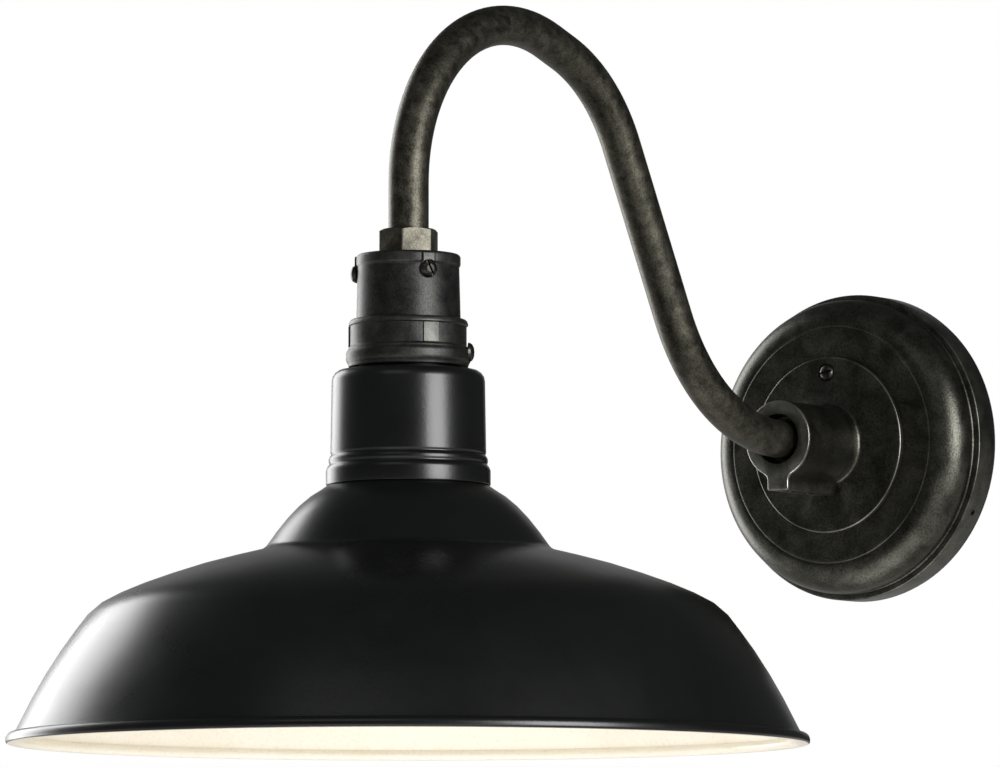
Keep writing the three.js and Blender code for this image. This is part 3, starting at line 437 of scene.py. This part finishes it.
ring = spun(holder["outline"], holder["steps"], start=math.radians(holder["startAngle"]))
for angle in lantern["headAngles"]:
    aim = Vector((math.cos(math.radians(angle)), math.sin(math.radians(angle))))
    rib = []
    for face in ring.faces:
        middle = face.calc_center_median()
        if onPanel(middle, 0.1) and abs(middle.xy.length - panelRadius) < 0.1:
            if math.degrees(aim.angle(middle.xy)) < holder["ribHalf"] + 0.2:
                rib.append(face)
    raised = bmesh.ops.extrude_face_region(ring, geom=rib)["geom"]
    bmesh.ops.delete(ring, geom=rib, context="FACES")
    for vert in vertsOf(raised):
        vert.co += Vector((*vert.co.xy, 0)).normalized() * (holder["panel"] + 0.1)
ringPiece = meshObject(ring, "shadeHolder", atHead)
lugShape = boxed((3.4, 7, 4), (24.1, 0, 19.3), 0.3)
lug = meshObject(lugShape, "lug", atHead @ Matrix.Rotation(-math.pi / 2, 4, "Z"))
combine(ringPiece, [lug], "UNION")
seatScrews(ringPiece, holder["screwAngles"].values(), holder)


# The upper lip and the ribs are rubbed by hands.
def holderWear(place):
    if place.z > holder["panelHigh"] + 0.6:
        return 0.4 if fromHeadAxis(place) > 25 else 0
    return 0.5 if onPanel(place, 0.2) and fromHeadAxis(place) > panelRadius + 0.4 else 0.1


setWear(ringPiece, holderWear)
finishPiece(ringPiece, "arm", ["shade_holder"], "satinCasting")
print("holder made")

cap = {
    "steps": 128,
    "screwZ": 54.2,
    "wallFrom": 20,
    "seatFrom": 22.9,
    "seatRadius": 4.3,
    "lugSize": (3.6, 6.6, 5.4),
    "lugPlace": (22.1, 0, 59.2),
    "flangeLow": 57.5,  # above this and outside the neck the flange is worn
    "neckRadius": 22.7,
    "outline": [
        (lantern["tubeBore"], 62.6, 0.5), (23.2, 62.6, 1.6), (23.2, 57.8, 0.7), (22.6, 57, 0.5), (23.2, 34.6),
        (23.3, 26.3, 0.4), (21, 26.3, 0.3), (21, 33.4), (20.3, 60, 1), (lantern["tubeBore"], 60),
    ],
}


def capWear(place):
    return 0.3 if place.z > cap["flangeLow"] and fromHeadAxis(place) > cap["neckRadius"] else 0


capPiece = meshObject(spun(cap["outline"], cap["steps"]), "socketCap", atHead)
lugs = []
for angle in lantern["headAngles"]:
    turned = atHead @ Matrix.Rotation(math.radians(angle), 4, "Z")
    lugs.append(meshObject(boxed(cap["lugSize"], cap["lugPlace"], 0.8, 3), "lug", turned))
combine(capPiece, lugs, "UNION")
seatScrews(capPiece, lantern["headAngles"], cap)
setWear(capPiece, capWear)
finishPiece(capPiece, "arm", ["socket_cap"], "satinCasting")

nut = {"flats": 23.8, "low": 62.9, "high": 73.9, "turn": -5.5, "chamfer": 1.1, "wear": 0.4}
nutCorner = nut["flats"] / 2 / math.cos(math.pi / 6)
hexagon = rod(nutCorner, nut["low"], nut["high"], 6)
firstCorner = max(hexagon.verts, key=lambda vert: vert.co.x)
turn = math.radians(nut["turn"]) - math.atan2(firstCorner.co.y, firstCorner.co.x)
bmesh.ops.rotate(hexagon, verts=hexagon.verts, matrix=Matrix.Rotation(turn, 3, "Z"))
roundEdges(hexagon, uprightEdges(hexagon), 0.5)
nutPiece = meshObject(hexagon, "couplingNut", atHead)
crown = spun([
    (0, nut["low"] - 1), (nutCorner + 1, nut["low"] - 1), (nutCorner + 0.1, nut["high"] - nut["chamfer"]),
    (nutCorner - 2.2, nut["high"]), (0, nut["high"]),
], 96, closed=False)
combine(nutPiece, [meshObject(crown, "crown", atHead)], "INTERSECT")
combine(nutPiece, [meshObject(rod(lantern["tubeBore"], 60, 76, 64), "bore", atHead)], "DIFFERENCE")
setWear(nutPiece, lambda place: nut["wear"])
finishPiece(nutPiece, "arm", ["hex_coupling_nut"], "tubePatina", 25)
print("cap and nut made")


# The flanks of a thread, between two radii that take turns.
def threadPoints(first, second, start, end, pitch=0.8):
    step = math.copysign(pitch, end - start)
    points = []
    while (end - start) * step > 0:
        points += [(first, start), (second, start + step / 2)]
        start += step
    return points


def makeScrew(name, size, place, body, finish="blackenedSteel"):
    head, rise, shank, length = size["head"], size["rise"], size["shank"], size["length"]
    outline = [
        (0, rise), (head * 0.5, rise * 0.93, 0.5, 0.2), (head * 0.85, rise * 0.62, 0.4, 0.5),
        (head, 0.35, 0.25, 0.6), (head, 0, 0.1), (shank, 0),
        *threadPoints(shank, shank - 0.32, -1.2, 1.2 - length),
        (shank - 0.3, -length), (0, -length),
    ]
    screw = meshObject(spun(outline, 40, closed=False), name, place)
    slot = boxed((head * 3, head * 0.22, rise), (0, 0, rise))
    bmesh.ops.rotate(slot, verts=slot.verts, matrix=Matrix.Rotation(math.radians(size["turn"]), 3, "Z"))
    combine(screw, [meshObject(slot, "slot", place)], "DIFFERENCE")
    finishPiece(screw, body, [name], finish, 30)


screws = {
    "cap": {"shank": 2, "head": 4, "rise": 2.8, "length": 6.1, "turn": 25, "under": 23.2},
    "shade": {"shank": 2, "head": 4.4, "rise": 2.6, "length": 4.3, "turn": 0, "under": 26.9},
    "plate": {"shank": 2.1, "head": 3.9, "rise": 2.4, "length": 34.7, "turn": 12, "under": 35},
    "ground": {"shank": 1.6, "head": 3.1, "rise": 2, "length": 2.5, "turn": 40, "under": 2.8},
}
for number, angle in enumerate(lantern["headAngles"], 1):
    place = pointingOut(angle, screws["cap"]["under"], cap["screwZ"])
    makeScrew(f"cap_screw_{number}", screws["cap"], place, "arm")
for name, angle in holder["screwAngles"].items():
    makeScrew(name, screws["shade"], pointingOut(angle, screws["shade"]["under"], holder["screwZ"]), name)
atFixing = Matrix.Translation((0, 0, lantern["fixingRise"])) @ outFromWall
atStud = Matrix.Translation((0, 0, -lantern["fixingRise"])) @ outFromWall
place = atFixing @ Matrix.Translation((0, 0, screws["plate"]["under"]))
makeScrew("plate_screw", screws["plate"], place, "wall_plate")
atGroundScrew = Matrix.Translation((0, 0, -lantern["groundScrewDrop"])) @ outFromWall
place = atGroundScrew @ Matrix.Translation((0, 0, screws["ground"]["under"]))
makeScrew("ground_screw", screws["ground"], place, "wall_plate", "greenVinyl")

grub = {"radius": 2.5, "bottom": -19.3, "top": -lantern["tubeBore"], "keyHalf": 1.4, "keyDepth": 4}
for name, out in lantern["grubPlaces"].items():
    place = Matrix.Translation((0, -out, 0))
    radius, bottom, top = grub["radius"], grub["bottom"], grub["top"]
    outline = [
        (0, bottom), (radius - 0.4, bottom, 0.1, 0.5), (radius, bottom + 0.5, 0, 0.5),
        *threadPoints(radius - 0.3, radius, bottom + 1, top - 1.2), (radius - 0.6, top), (0, top),
    ]
    screw = meshObject(spun(outline, 32, closed=False), name, place)
    key = rod(grub["keyHalf"] / math.cos(math.pi / 6), bottom - 1, bottom + grub["keyDepth"], 6)
    combine(screw, [meshObject(key, "key", place)], "DIFFERENCE")
    finishPiece(screw, name.removeprefix("arm_"), [name], "blackenedSteel", 30)
print("screws made")

arm = {
    "radius": 9,
    "wall": 1.5,
    "sides": 64,
    "start": 38.7,  # out from the wall, inside the boss
    "bendStart": 76.6,
    "footRadius": 98,
    "footAngle": 61.75,  # degrees that the foot turns up
    "hookRadius": 79.5,
    "topRun": 13,  # the nearly straight run between the hook's two bends
    "topSlope": 18.5,
    "headEnd": 52,  # height of the tube's end inside the cap
}
foot, top = math.radians(arm["footAngle"]), math.radians(arm["topSlope"])
bends = arm["footRadius"] * math.sin(foot) + arm["hookRadius"] * (math.sin(foot) + 1)
flatRun = lantern["reach"] - arm["bendStart"] - bends - arm["topRun"] * math.cos(top)

# The tube is made as it is bent: straight runs are pushed out and bends are turned about their centres.
tube = bmesh.new()
bmesh.ops.create_circle(tube, segments=arm["sides"], radius=arm["radius"])
bmesh.ops.rotate(tube, verts=tube.verts, matrix=outFromWall.to_3x3())
bmesh.ops.translate(tube, verts=tube.verts, vec=(0, -arm["start"], 0))
tubeEnd = {"edges": tube.edges[:], "centre": Vector((0, -arm["start"], 0)), "heading": 0.0}


def pushTube(length, steps):
    stride = Vector((0, -math.cos(tubeEnd["heading"]), math.sin(tubeEnd["heading"]))) * length
    for _ in range(steps):
        grown = bmesh.ops.extrude_edge_only(tube, edges=tubeEnd["edges"])["geom"]
        verts = vertsOf(grown)
        bmesh.ops.translate(tube, verts=verts, vec=stride / steps)
        tubeEnd["edges"] = [edge for edge in edgesOf(grown) if all(vert in verts for vert in edge.verts)]
    tubeEnd["centre"] += stride


def bendTube(radius, angle, steps):
    heading = tubeEnd["heading"]
    side = math.copysign(1, angle)
    centre = tubeEnd["centre"] + Vector((0, math.sin(heading), math.cos(heading))) * radius * side
    verts = list({vert for edge in tubeEnd["edges"] for vert in edge.verts})
    grown = bmesh.ops.spin(tube, geom=verts + tubeEnd["edges"], cent=centre, axis=(1, 0, 0),
                           angle=-angle, steps=steps)["geom_last"]
    tubeEnd["edges"] = edgesOf(grown)
    tubeEnd["centre"] = centre + Matrix.Rotation(-angle, 3, "X") @ (tubeEnd["centre"] - centre)
    tubeEnd["heading"] += angle


pushTube(arm["bendStart"] - arm["start"], 4)
bendTube(arm["footRadius"], foot, 26)
pushTube(flatRun / math.cos(foot), 10)
bendTube(arm["hookRadius"], top - foot, 20)
pushTube(arm["topRun"], 2)
bendTube(arm["hookRadius"], -top - math.pi / 2, 36)
pushTube(tubeEnd["centre"].z - arm["headEnd"], 6)
middle = tube.faces[:][0].calc_center_median()
faceOutwards(tube, tube.faces[:][0], Vector((middle.x, 0, middle.z)))
bmesh.ops.solidify(tube, geom=tube.faces[:], thickness=arm["wall"])
armPiece = meshObject(tube, "gooseneckArm")
finishPiece(armPiece, "arm", ["gooseneck_arm"], "tubePatina", 50)
print("arm made, ending at", tuple(round(value, 2) for value in tubeEnd["centre"]))

flange = {
    "discRadius": 42.5,
    "spigot": 13.7,  # radius of the stub in the backplate's bore
    "spigotBack": 27.9,
    "back": 32.9,
    "front": 35.7,
    "bossBack": 35,
    "bossFront": 77.6,
    "bossRadius": 18.4,
    "bossRound": 0.8,
    "ribHalf": 5.9,  # half the width of the rib under the boss
    "ribDrop": 24.5,
    "fillet": 4,
    "leadHole": 6.8,
    "wearRings": (50, 66, 75.8),  # rings of the boss that let its wear fade towards the front edge
    # the flared mouth that the tube goes into
    "mouth": [(0, 69.6), (11.6, 69.6, 0.8), (12, 77.8), (12.6, 78.6), (0, 78.6)],
}
disc = meshObject(spun([
    (0, flange["spigotBack"]), (flange["spigot"], flange["spigotBack"], 0.4),
    (flange["spigot"], flange["back"]),
    (flange["discRadius"], flange["back"]), (flange["discRadius"], flange["front"], 0.7),
    (41.4, flange["front"], 0.2), (20.2, flange["front"]), (19.4, 36.2), (18.8, 37.2),
    (18.5, 39.6), (0, 39.6),
], 128, closed=False), "armFlange", outFromWall)

# the keyhole outline of the boss: a round, two hollow fillets and the foot of the rib
filletX = flange["ribHalf"] + flange["fillet"]
filletY = -math.sqrt((flange["bossRadius"] + flange["fillet"]) ** 2 - filletX ** 2)
touch = math.atan2(filletY, filletX)  # where a fillet meets the round
boss = bmesh.new()


def arcFrom(first, centre, angle, steps):
    made = bmesh.ops.spin(boss, geom=[first], cent=(*centre, 0), axis=(0, 0, 1), angle=angle, steps=steps)
    return vertsOf(made["geom_last"])[0]


rightFoot = boss.verts.new((flange["ribHalf"], -flange["ribDrop"], 0))
rightKnee = boss.verts.new((flange["ribHalf"], filletY, 0))
boss.edges.new((rightFoot, rightKnee))
roundStart = arcFrom(rightKnee, (filletX, filletY), touch, 8)
roundEnd = arcFrom(roundStart, (0, 0), math.pi - 2 * touch, 72)
leftKnee = arcFrom(roundEnd, (-filletX, filletY), touch, 8)
leftFoot = boss.verts.new((-flange["ribHalf"], -flange["ribDrop"], 0))
boss.edges.new((leftKnee, leftFoot))
boss.edges.new((leftFoot, rightFoot))
bmesh.ops.remove_doubles(boss, verts=boss.verts, dist=1e-3)
bmesh.ops.translate(boss, verts=boss.verts, vec=(0, 0, flange["bossBack"]))
base = bmesh.ops.contextual_create(boss, geom=boss.edges[:])["faces"]
raised = bmesh.ops.extrude_face_region(boss, geom=base)["geom"]
bmesh.ops.translate(boss, verts=vertsOf(raised), vec=(0, 0, flange["bossFront"] - flange["bossBack"]))
bmesh.ops.recalc_face_normals(boss, faces=boss.faces)
edges = [edge for edge in boss.edges if all(vert.co.z > flange["bossFront"] - 0.6 for vert in edge.verts)]
edges += [edge for edge in uprightEdges(boss) if edge.verts[0].co.y < -flange["ribDrop"] + 0.1]
roundEdges(boss, edges, flange["bossRound"], 3, clamp=True)
for level in flange["wearRings"]:
    bmesh.ops.bisect_plane(boss, geom=boss.verts[:] + boss.edges[:] + boss.faces[:],
                           plane_co=(0, 0, level), plane_no=(0, 0, 1))
combine(disc, [meshObject(boss, "boss", outFromWall)], "UNION")
cuts = [
    meshObject(rod(lantern["tubeBore"], 36.9, 80, 64), "socket", outFromWall),
    meshObject(spun(flange["mouth"], 64, closed=False), "mouth", outFromWall),
    meshObject(rod(flange["leadHole"], 20, 38, 48), "leadHole", outFromWall),
    meshObject(rod(lantern["fixingHole"], 20, 40, 24), "hole", atFixing),
    meshObject(rod(4.5, 34.7, 40, 40), "spot", atFixing),
    meshObject(rod(lantern["fixingHole"], 20, 34.7, 24), "blind", atStud),
]
for out in lantern["grubPlaces"].values():
    cuts.append(meshObject(rod(grub["radius"] + 0.3, -27, -4.5), "tapped", Matrix.Translation((0, -out, 0))))
combine(disc, cuts, "DIFFERENCE")


# The front edge of the boss, the foot of its rib and the rim of the disc are rubbed bright.
def flangeWear(place):
    spread, out = math.hypot(place.x, place.z), -place.y
    if out > flange["bossFront"] - 1:
        return 1 if spread > flange["bossRadius"] - 1.2 or place.z < -15 else 0
    if spread > flange["discRadius"] - 0.8 and out > flange["bossBack"]:
        return 0.45
    onFoot = place.z < 1 - flange["ribDrop"] and abs(place.x) > flange["ribHalf"] - 1
    return 0.6 if onFoot and out > flange["bossBack"] + 2 else 0


setWear(disc, flangeWear)
finishPiece(disc, "wall_plate", ["arm_flange"], "castPatina", 35)
print("flange made")

plate = {
    "steps": 160,
    "weepAngle": 27.5,  # weep holes, in degrees below the middle of the sides
    "weepRadius": 1.3,
    "weepOut": 8.4,
    "rimRadius": 73,  # outside this and in front of the band, the edge is worn
    "rimFront": 14,
    # band, step, round, bead and flat, then the hollow back
    "outline": [
        (74, 1.9, 0.3), (74, 14.9, 0.7), (70.9, 14.9, 0.3), (70.3, 15.6, 0.3), (71.2, 19), (70.9, 22),
        (69.6, 25.2), (67.4, 28), (64.6, 30.2), (61.4, 31.8), (58.6, 32.3, 0.5), (57.6, 32.25, 0.3),
        (57.1, 32.1, 0.2), (56.5, 32.5, 0.3), (55.2, 32.6), (14, 32.6), (14, 29.4), (54.4, 29.4, 2),
        (67.3, 15), (70.8, 11.7, 2), (70.8, 1.9),
    ],
}


def plateWear(place):
    return 0.2 if math.hypot(place.x, place.z) > plate["rimRadius"] and place.y < -plate["rimFront"] else 0


platePiece = meshObject(spun(plate["outline"], plate["steps"]), "backplate", outFromWall)
cuts = []
for side, fixing in ((1, atFixing), (-1, atStud)):
    cuts.append(meshObject(rod(lantern["fixingHole"], 20, 40, 24), "hole", fixing))
    aim = Matrix.Rotation(side * math.radians(90 + plate["weepAngle"]), 4, "Y")
    weep = rod(plate["weepRadius"], 60, 80, 24)
    cuts.append(meshObject(weep, "weep", Matrix.Translation((0, -plate["weepOut"], 0)) @ aim))
combine(platePiece, cuts, "DIFFERENCE")
setWear(platePiece, plateWear)
finishPiece(platePiece, "wall_plate", ["backplate"], "castPatina", 40)

gasket = {"outer": 73.4, "inner": 66.4, "thickness": 1.6, "rounding": 0.3}
corners = [(radius, height, gasket["rounding"]) for radius, height in (
    (gasket["outer"], 0), (gasket["outer"], gasket["thickness"]),
    (gasket["inner"], gasket["thickness"]), (gasket["inner"], 0))]
gasketPiece = meshObject(spun(corners, 128), "wallGasket", outFromWall)
finishPiece(gasketPiece, "wall_plate", ["wall_gasket"], "gasketRubber")

strap = {
    "width": 20,
    "length": 104,
    "thickness": 2.5,
    "endRound": 9.9,
    "centreHole": 6,
    "groundHole": 1.9,
    "boxScrewRise": 44.45,  # box screws above and below the centre
    "boxSlot": (9, 4.8, 8),
    "slotRound": 2.35,
}
strip = boxed((strap["width"], strap["length"], strap["thickness"]), (0, 0, strap["thickness"] / 2))
roundEdges(strip, uprightEdges(strip), strap["endRound"], 12)
flatEdges = [edge for edge in strip.edges if abs(edge.verts[0].co.z - edge.verts[1].co.z) < 0.1]
roundEdges(strip, flatEdges, 0.35)
strapPiece = meshObject(strip, "mountingStrap", outFromWall)
cuts = [meshObject(rod(strap["centreHole"], -1, 4, 40), "hole", outFromWall)]
for side, fixing in ((1, atFixing), (-1, atStud)):
    cuts.append(meshObject(rod(lantern["fixingHole"], -1, 4, 24), "tapped", fixing))
    slotShape = boxed(strap["boxSlot"], (0, side * strap["boxScrewRise"], 1))
    roundEdges(slotShape, uprightEdges(slotShape), strap["slotRound"], 6)
    cuts.append(meshObject(slotShape, "slot", outFromWall))
cuts.append(meshObject(rod(strap["groundHole"], -1, 4, 20), "tapped", atGroundScrew))
combine(strapPiece, cuts, "DIFFERENCE")
finishPiece(strapPiece, "wall_plate", ["mounting_strap"], "zincSteel", 30)
print("wall end made")

lampholder = {
    "steps": 96,
    "postRadius": 4,
    "postSpacing": 24,
    "postTop": 40.7,
    # cup, with its mouth below and the socket's floor inside
    "outline": [
        (0, 36), (19, 36, 0.8), (19, 14, 0.3), (18.2, 13.2, 0.4), (18.2, -19, 1.5), (14.9, -19, 0.5),
        (14.5, -18.2), (14.5, 24), (0, 24),
    ],
}
lampShape = spun(lampholder["outline"], lampholder["steps"], closed=False)
lampPiece = meshObject(lampShape, "lampholderBody", atHead)
posts = []
for side in (1, -1):
    place = atHead @ Matrix.Translation((0, side * lampholder["postSpacing"] / 2, 0))
    posts.append(meshObject(rod(lampholder["postRadius"], 35, lampholder["postTop"]), "post", place))
combine(lampPiece, posts, "UNION")
finishPiece(lampPiece, "arm", ["lampholder_body"], "porcelain")

screwShell = {
    "pitch": 3.63,  # seven threads to the inch
    "low": -16,
    "high": 18,
    "steps": 48,
    "wall": 0.5,
    "outline": [(13.3, -20), (13.45, -19.5), (13.95, -18.6), (13.95, -17.8), (13.45, -16.9), (13.3, -16.37)],
}
thread = bmesh.new()
drawOutline(thread, screwShell["outline"], False)
turns = math.ceil((screwShell["high"] - screwShell["low"]) / screwShell["pitch"]) + 2
bmesh.ops.spin(thread, geom=thread.verts[:] + thread.edges[:], cent=(0, 0, 0), axis=(0, 0, 1),
               dvec=(0, 0, screwShell["pitch"] / screwShell["steps"]), angle=fullTurn * turns,
               steps=screwShell["steps"] * turns)
bmesh.ops.remove_doubles(thread, verts=thread.verts, dist=0.01)
for level, direction in ((screwShell["low"], -1), (screwShell["high"], 1)):
    bmesh.ops.bisect_plane(thread, geom=thread.verts[:] + thread.edges[:] + thread.faces[:],
                           plane_co=(0, 0, level), plane_no=(0, 0, direction), clear_outer=True)
bmesh.ops.recalc_face_normals(thread, faces=thread.faces)
bmesh.ops.solidify(thread, geom=thread.faces[:], thickness=screwShell["wall"])
shellPiece = meshObject(thread, "screwShell", atHead)
finishPiece(shellPiece, "arm", ["screw_shell"], "brass", 60)
print("lampholder made")

connector = {
    "ribs": 12,
    "ribDepth": 0.1,  # of the radius
    "spread": 7.4,  # from the arm's axis
    "mouth": 18.9,  # out from the wall
    "leads": {"live": (90, "black"), "neutral": (210, "white"), "ground": (330, "green")},
    "outline": [
        (0, 14), (2.6, 14, 0.8), (3.3, 11.6), (4, 4.9), (4.6, 2.2), (5, 1.6, 0.3), (5, 0, 0.4),
        (2.1, 0, 0.3), (2.1, 4), (0, 4),
    ],
}
towardsWall = Matrix.Rotation(-math.pi / 2, 4, "X")
for name, (angle, colour) in connector["leads"].items():
    body = spun(connector["outline"], connector["ribs"] * 4, closed=False)
    for vert in body.verts:  # grooves between the ribs of the grip
        step = round(math.atan2(vert.co.y, vert.co.x) / fullTurn * connector["ribs"] * 4)
        if 2.4 < vert.co.z < 13 and step % 4 in (1, 2) and vert.co.xy.length > 2.5:
            vert.co.xy *= 1 - connector["ribDepth"]
    aside, up = math.cos(math.radians(angle)), math.sin(math.radians(angle))
    centre = (connector["spread"] * aside, -connector["mouth"], connector["spread"] * up)
    piece = meshObject(body, f"{name}Connector", Matrix.Translation(centre) @ towardsWall)
    finishPiece(piece, "arm", [f"{name}_connector"], f"{colour}Vinyl", 30)
print("connectors made")

# Hidden pieces keep their shape and are only painted.
carriedOver = {
    "zincSteel": ("locating_stud", "inner_locknut", "lampholder_bracket", "lampholder_screw_left",
                  "lampholder_screw_right", "terminal_plate_left", "terminal_screw_left"),
    "brass": ("centre_contact", "terminal_plate_right", "terminal_screw_right"),
    "nylon": ("wall_end_bushing", "head_end_bushing"),
    "gasketRubber": ("shade_seal",),
    "blackVinyl": ("live_lead",),
    "whiteVinyl": ("neutral_lead",),
    "greenVinyl": ("ground_lead", "bracket_ground_screw"),
}
for finish, names in carriedOver.items():
    for name in names:
        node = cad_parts[name]
        node.data.materials.clear()
        node.data.materials.append(materials[finish])
print("carried-over pieces painted:", sum(len(names) for names in carriedOver.values()))

floor = {
    "radius": 5000,
    "level": -700,
    "finish": {
        "shader": {"Metallic": 0.0, "IOR": 1.45},
        "tones": [(0.3, "#dddcd9"), (0.7, "#e4e3e0")], "specks": [(0.2, "#f6f6f6"), (0.6, "#ffffff")],
        "patchMm": 400, "grainMm": 6, "rough": (0.6, 0.7), "bump": 0.03,
    },
}
floorShape = bmesh.new()
bmesh.ops.create_circle(floorShape, cap_ends=True, segments=96, radius=floor["radius"])
floorPiece = meshObject(floorShape, "floor", Matrix.Translation((0, 0, floor["level"])))
floorPiece.data.transform(Matrix.Scale(mm, 4))
floorPiece.data.materials.append(makeFinish("paleFloor", floor["finish"]))

studio = {
    "target": (0, -0.25, 0),
    # turn and rise in degrees, then metres and watts
    "lamps": {
        "leftStrip": {"turn": 172, "rise": 6, "away": 1.8, "size": (1, 1.8), "power": 30},
        "rightSoft": {"turn": -13, "rise": 8, "away": 2, "size": (1, 1.4), "power": 50},
        "frontFill": {"turn": -75, "rise": 38, "away": 2.6, "size": (1.6, 1), "power": 3},
        "belowFill": {"turn": -60, "rise": -38, "away": 1.1, "size": (1.2, 0.7), "power": 3},
        "backGlow": {"turn": 136, "rise": 14, "away": 2.4, "size": (2.6, 1), "power": 2.6},
        "underShade": {"turn": -90, "rise": -78, "away": 0.62, "size": (0.5, 0.5), "power": 1.85},
    },
    "mirrored": ("leftStrip", "rightSoft"),  # seen in glossy surfaces, and not lighting dull ones
    "room": "#dcdcda",  # what dull surfaces are lit by
    "surround": "#444545",  # the darker walls that polished ones reflect
    "backdrop": "#ffffff",
}
# The lamps shine past the floor, which the room's own light covers evenly.
unlit = bpy.data.collections.new("unlit by lamps")
unlit.objects.link(floorPiece)
unlit.collection_objects[0].light_linking.link_state = "EXCLUDE"
for name, lamp in studio["lamps"].items():
    turn, rise = math.radians(lamp["turn"]), math.radians(lamp["rise"])
    direction = Vector((math.cos(turn) * math.cos(rise), math.sin(turn) * math.cos(rise), math.sin(rise)))
    lampData = bpy.data.lights.new(name, "AREA")
    lampData.shape = "RECTANGLE"
    lampData.size, lampData.size_y = lamp["size"]
    lampData.energy = lamp["power"]
    lampObject = bpy.data.objects.new(name, lampData)
    lampObject.location = Vector(studio["target"]) + direction * lamp["away"]
    lampObject.rotation_euler = (-direction).to_track_quat("-Z", "Y").to_euler()
    lampObject.visible_camera = False
    lampObject.visible_diffuse = name not in studio["mirrored"]
    lampObject.light_linking.receiver_collection = unlit
    bpy.context.scene.collection.objects.link(lampObject)

world = bpy.data.worlds.new("studio")
bpy.context.scene.world = world
world.use_nodes = True
sky = world.node_tree
paths = addNode(sky, "ShaderNodeLightPath")
walls = addNode(sky, "ShaderNodeMix",
                {"data_type": "RGBA", 6: linear(studio["surround"]), 7: linear(studio["room"])},
                {0: paths.outputs["Is Diffuse Ray"]})
background = addNode(sky, "ShaderNodeMix", {"data_type": "RGBA", 7: linear(studio["backdrop"])},
                     {0: paths.outputs["Is Camera Ray"], 6: walls.outputs[2]})
sky.links.new(background.outputs[2], sky.nodes["Background"].inputs["Color"])
bpy.context.scene.view_settings.view_transform = "Standard"

view = {"turn": 36.775, "tilt": -5.275, "distance": 3.5, "right": -0.1784, "up": 0.03206, "lens": 259.9}
turn, tilt = math.radians(view["turn"]), math.radians(view["tilt"])
back = Vector((math.sin(turn) * math.cos(tilt), -math.cos(turn) * math.cos(tilt), math.sin(tilt)))
right = Vector((math.cos(turn), math.sin(turn), 0))
up = back.cross(right)
cameraData = bpy.data.cameras.new("camera")
cameraData.lens = view["lens"]
cameraData.sensor_width = 36
cameraData.clip_end = 50
camera = bpy.data.objects.new("camera", cameraData)
camera.location = back * view["distance"] + right * view["right"] + up * view["up"]
camera.rotation_euler = Matrix((right, up, back)).transposed().to_euler()
bpy.context.scene.collection.objects.link(camera)
bpy.context.scene.camera = camera
print("stage set")

bpy.context.view_layer.update()
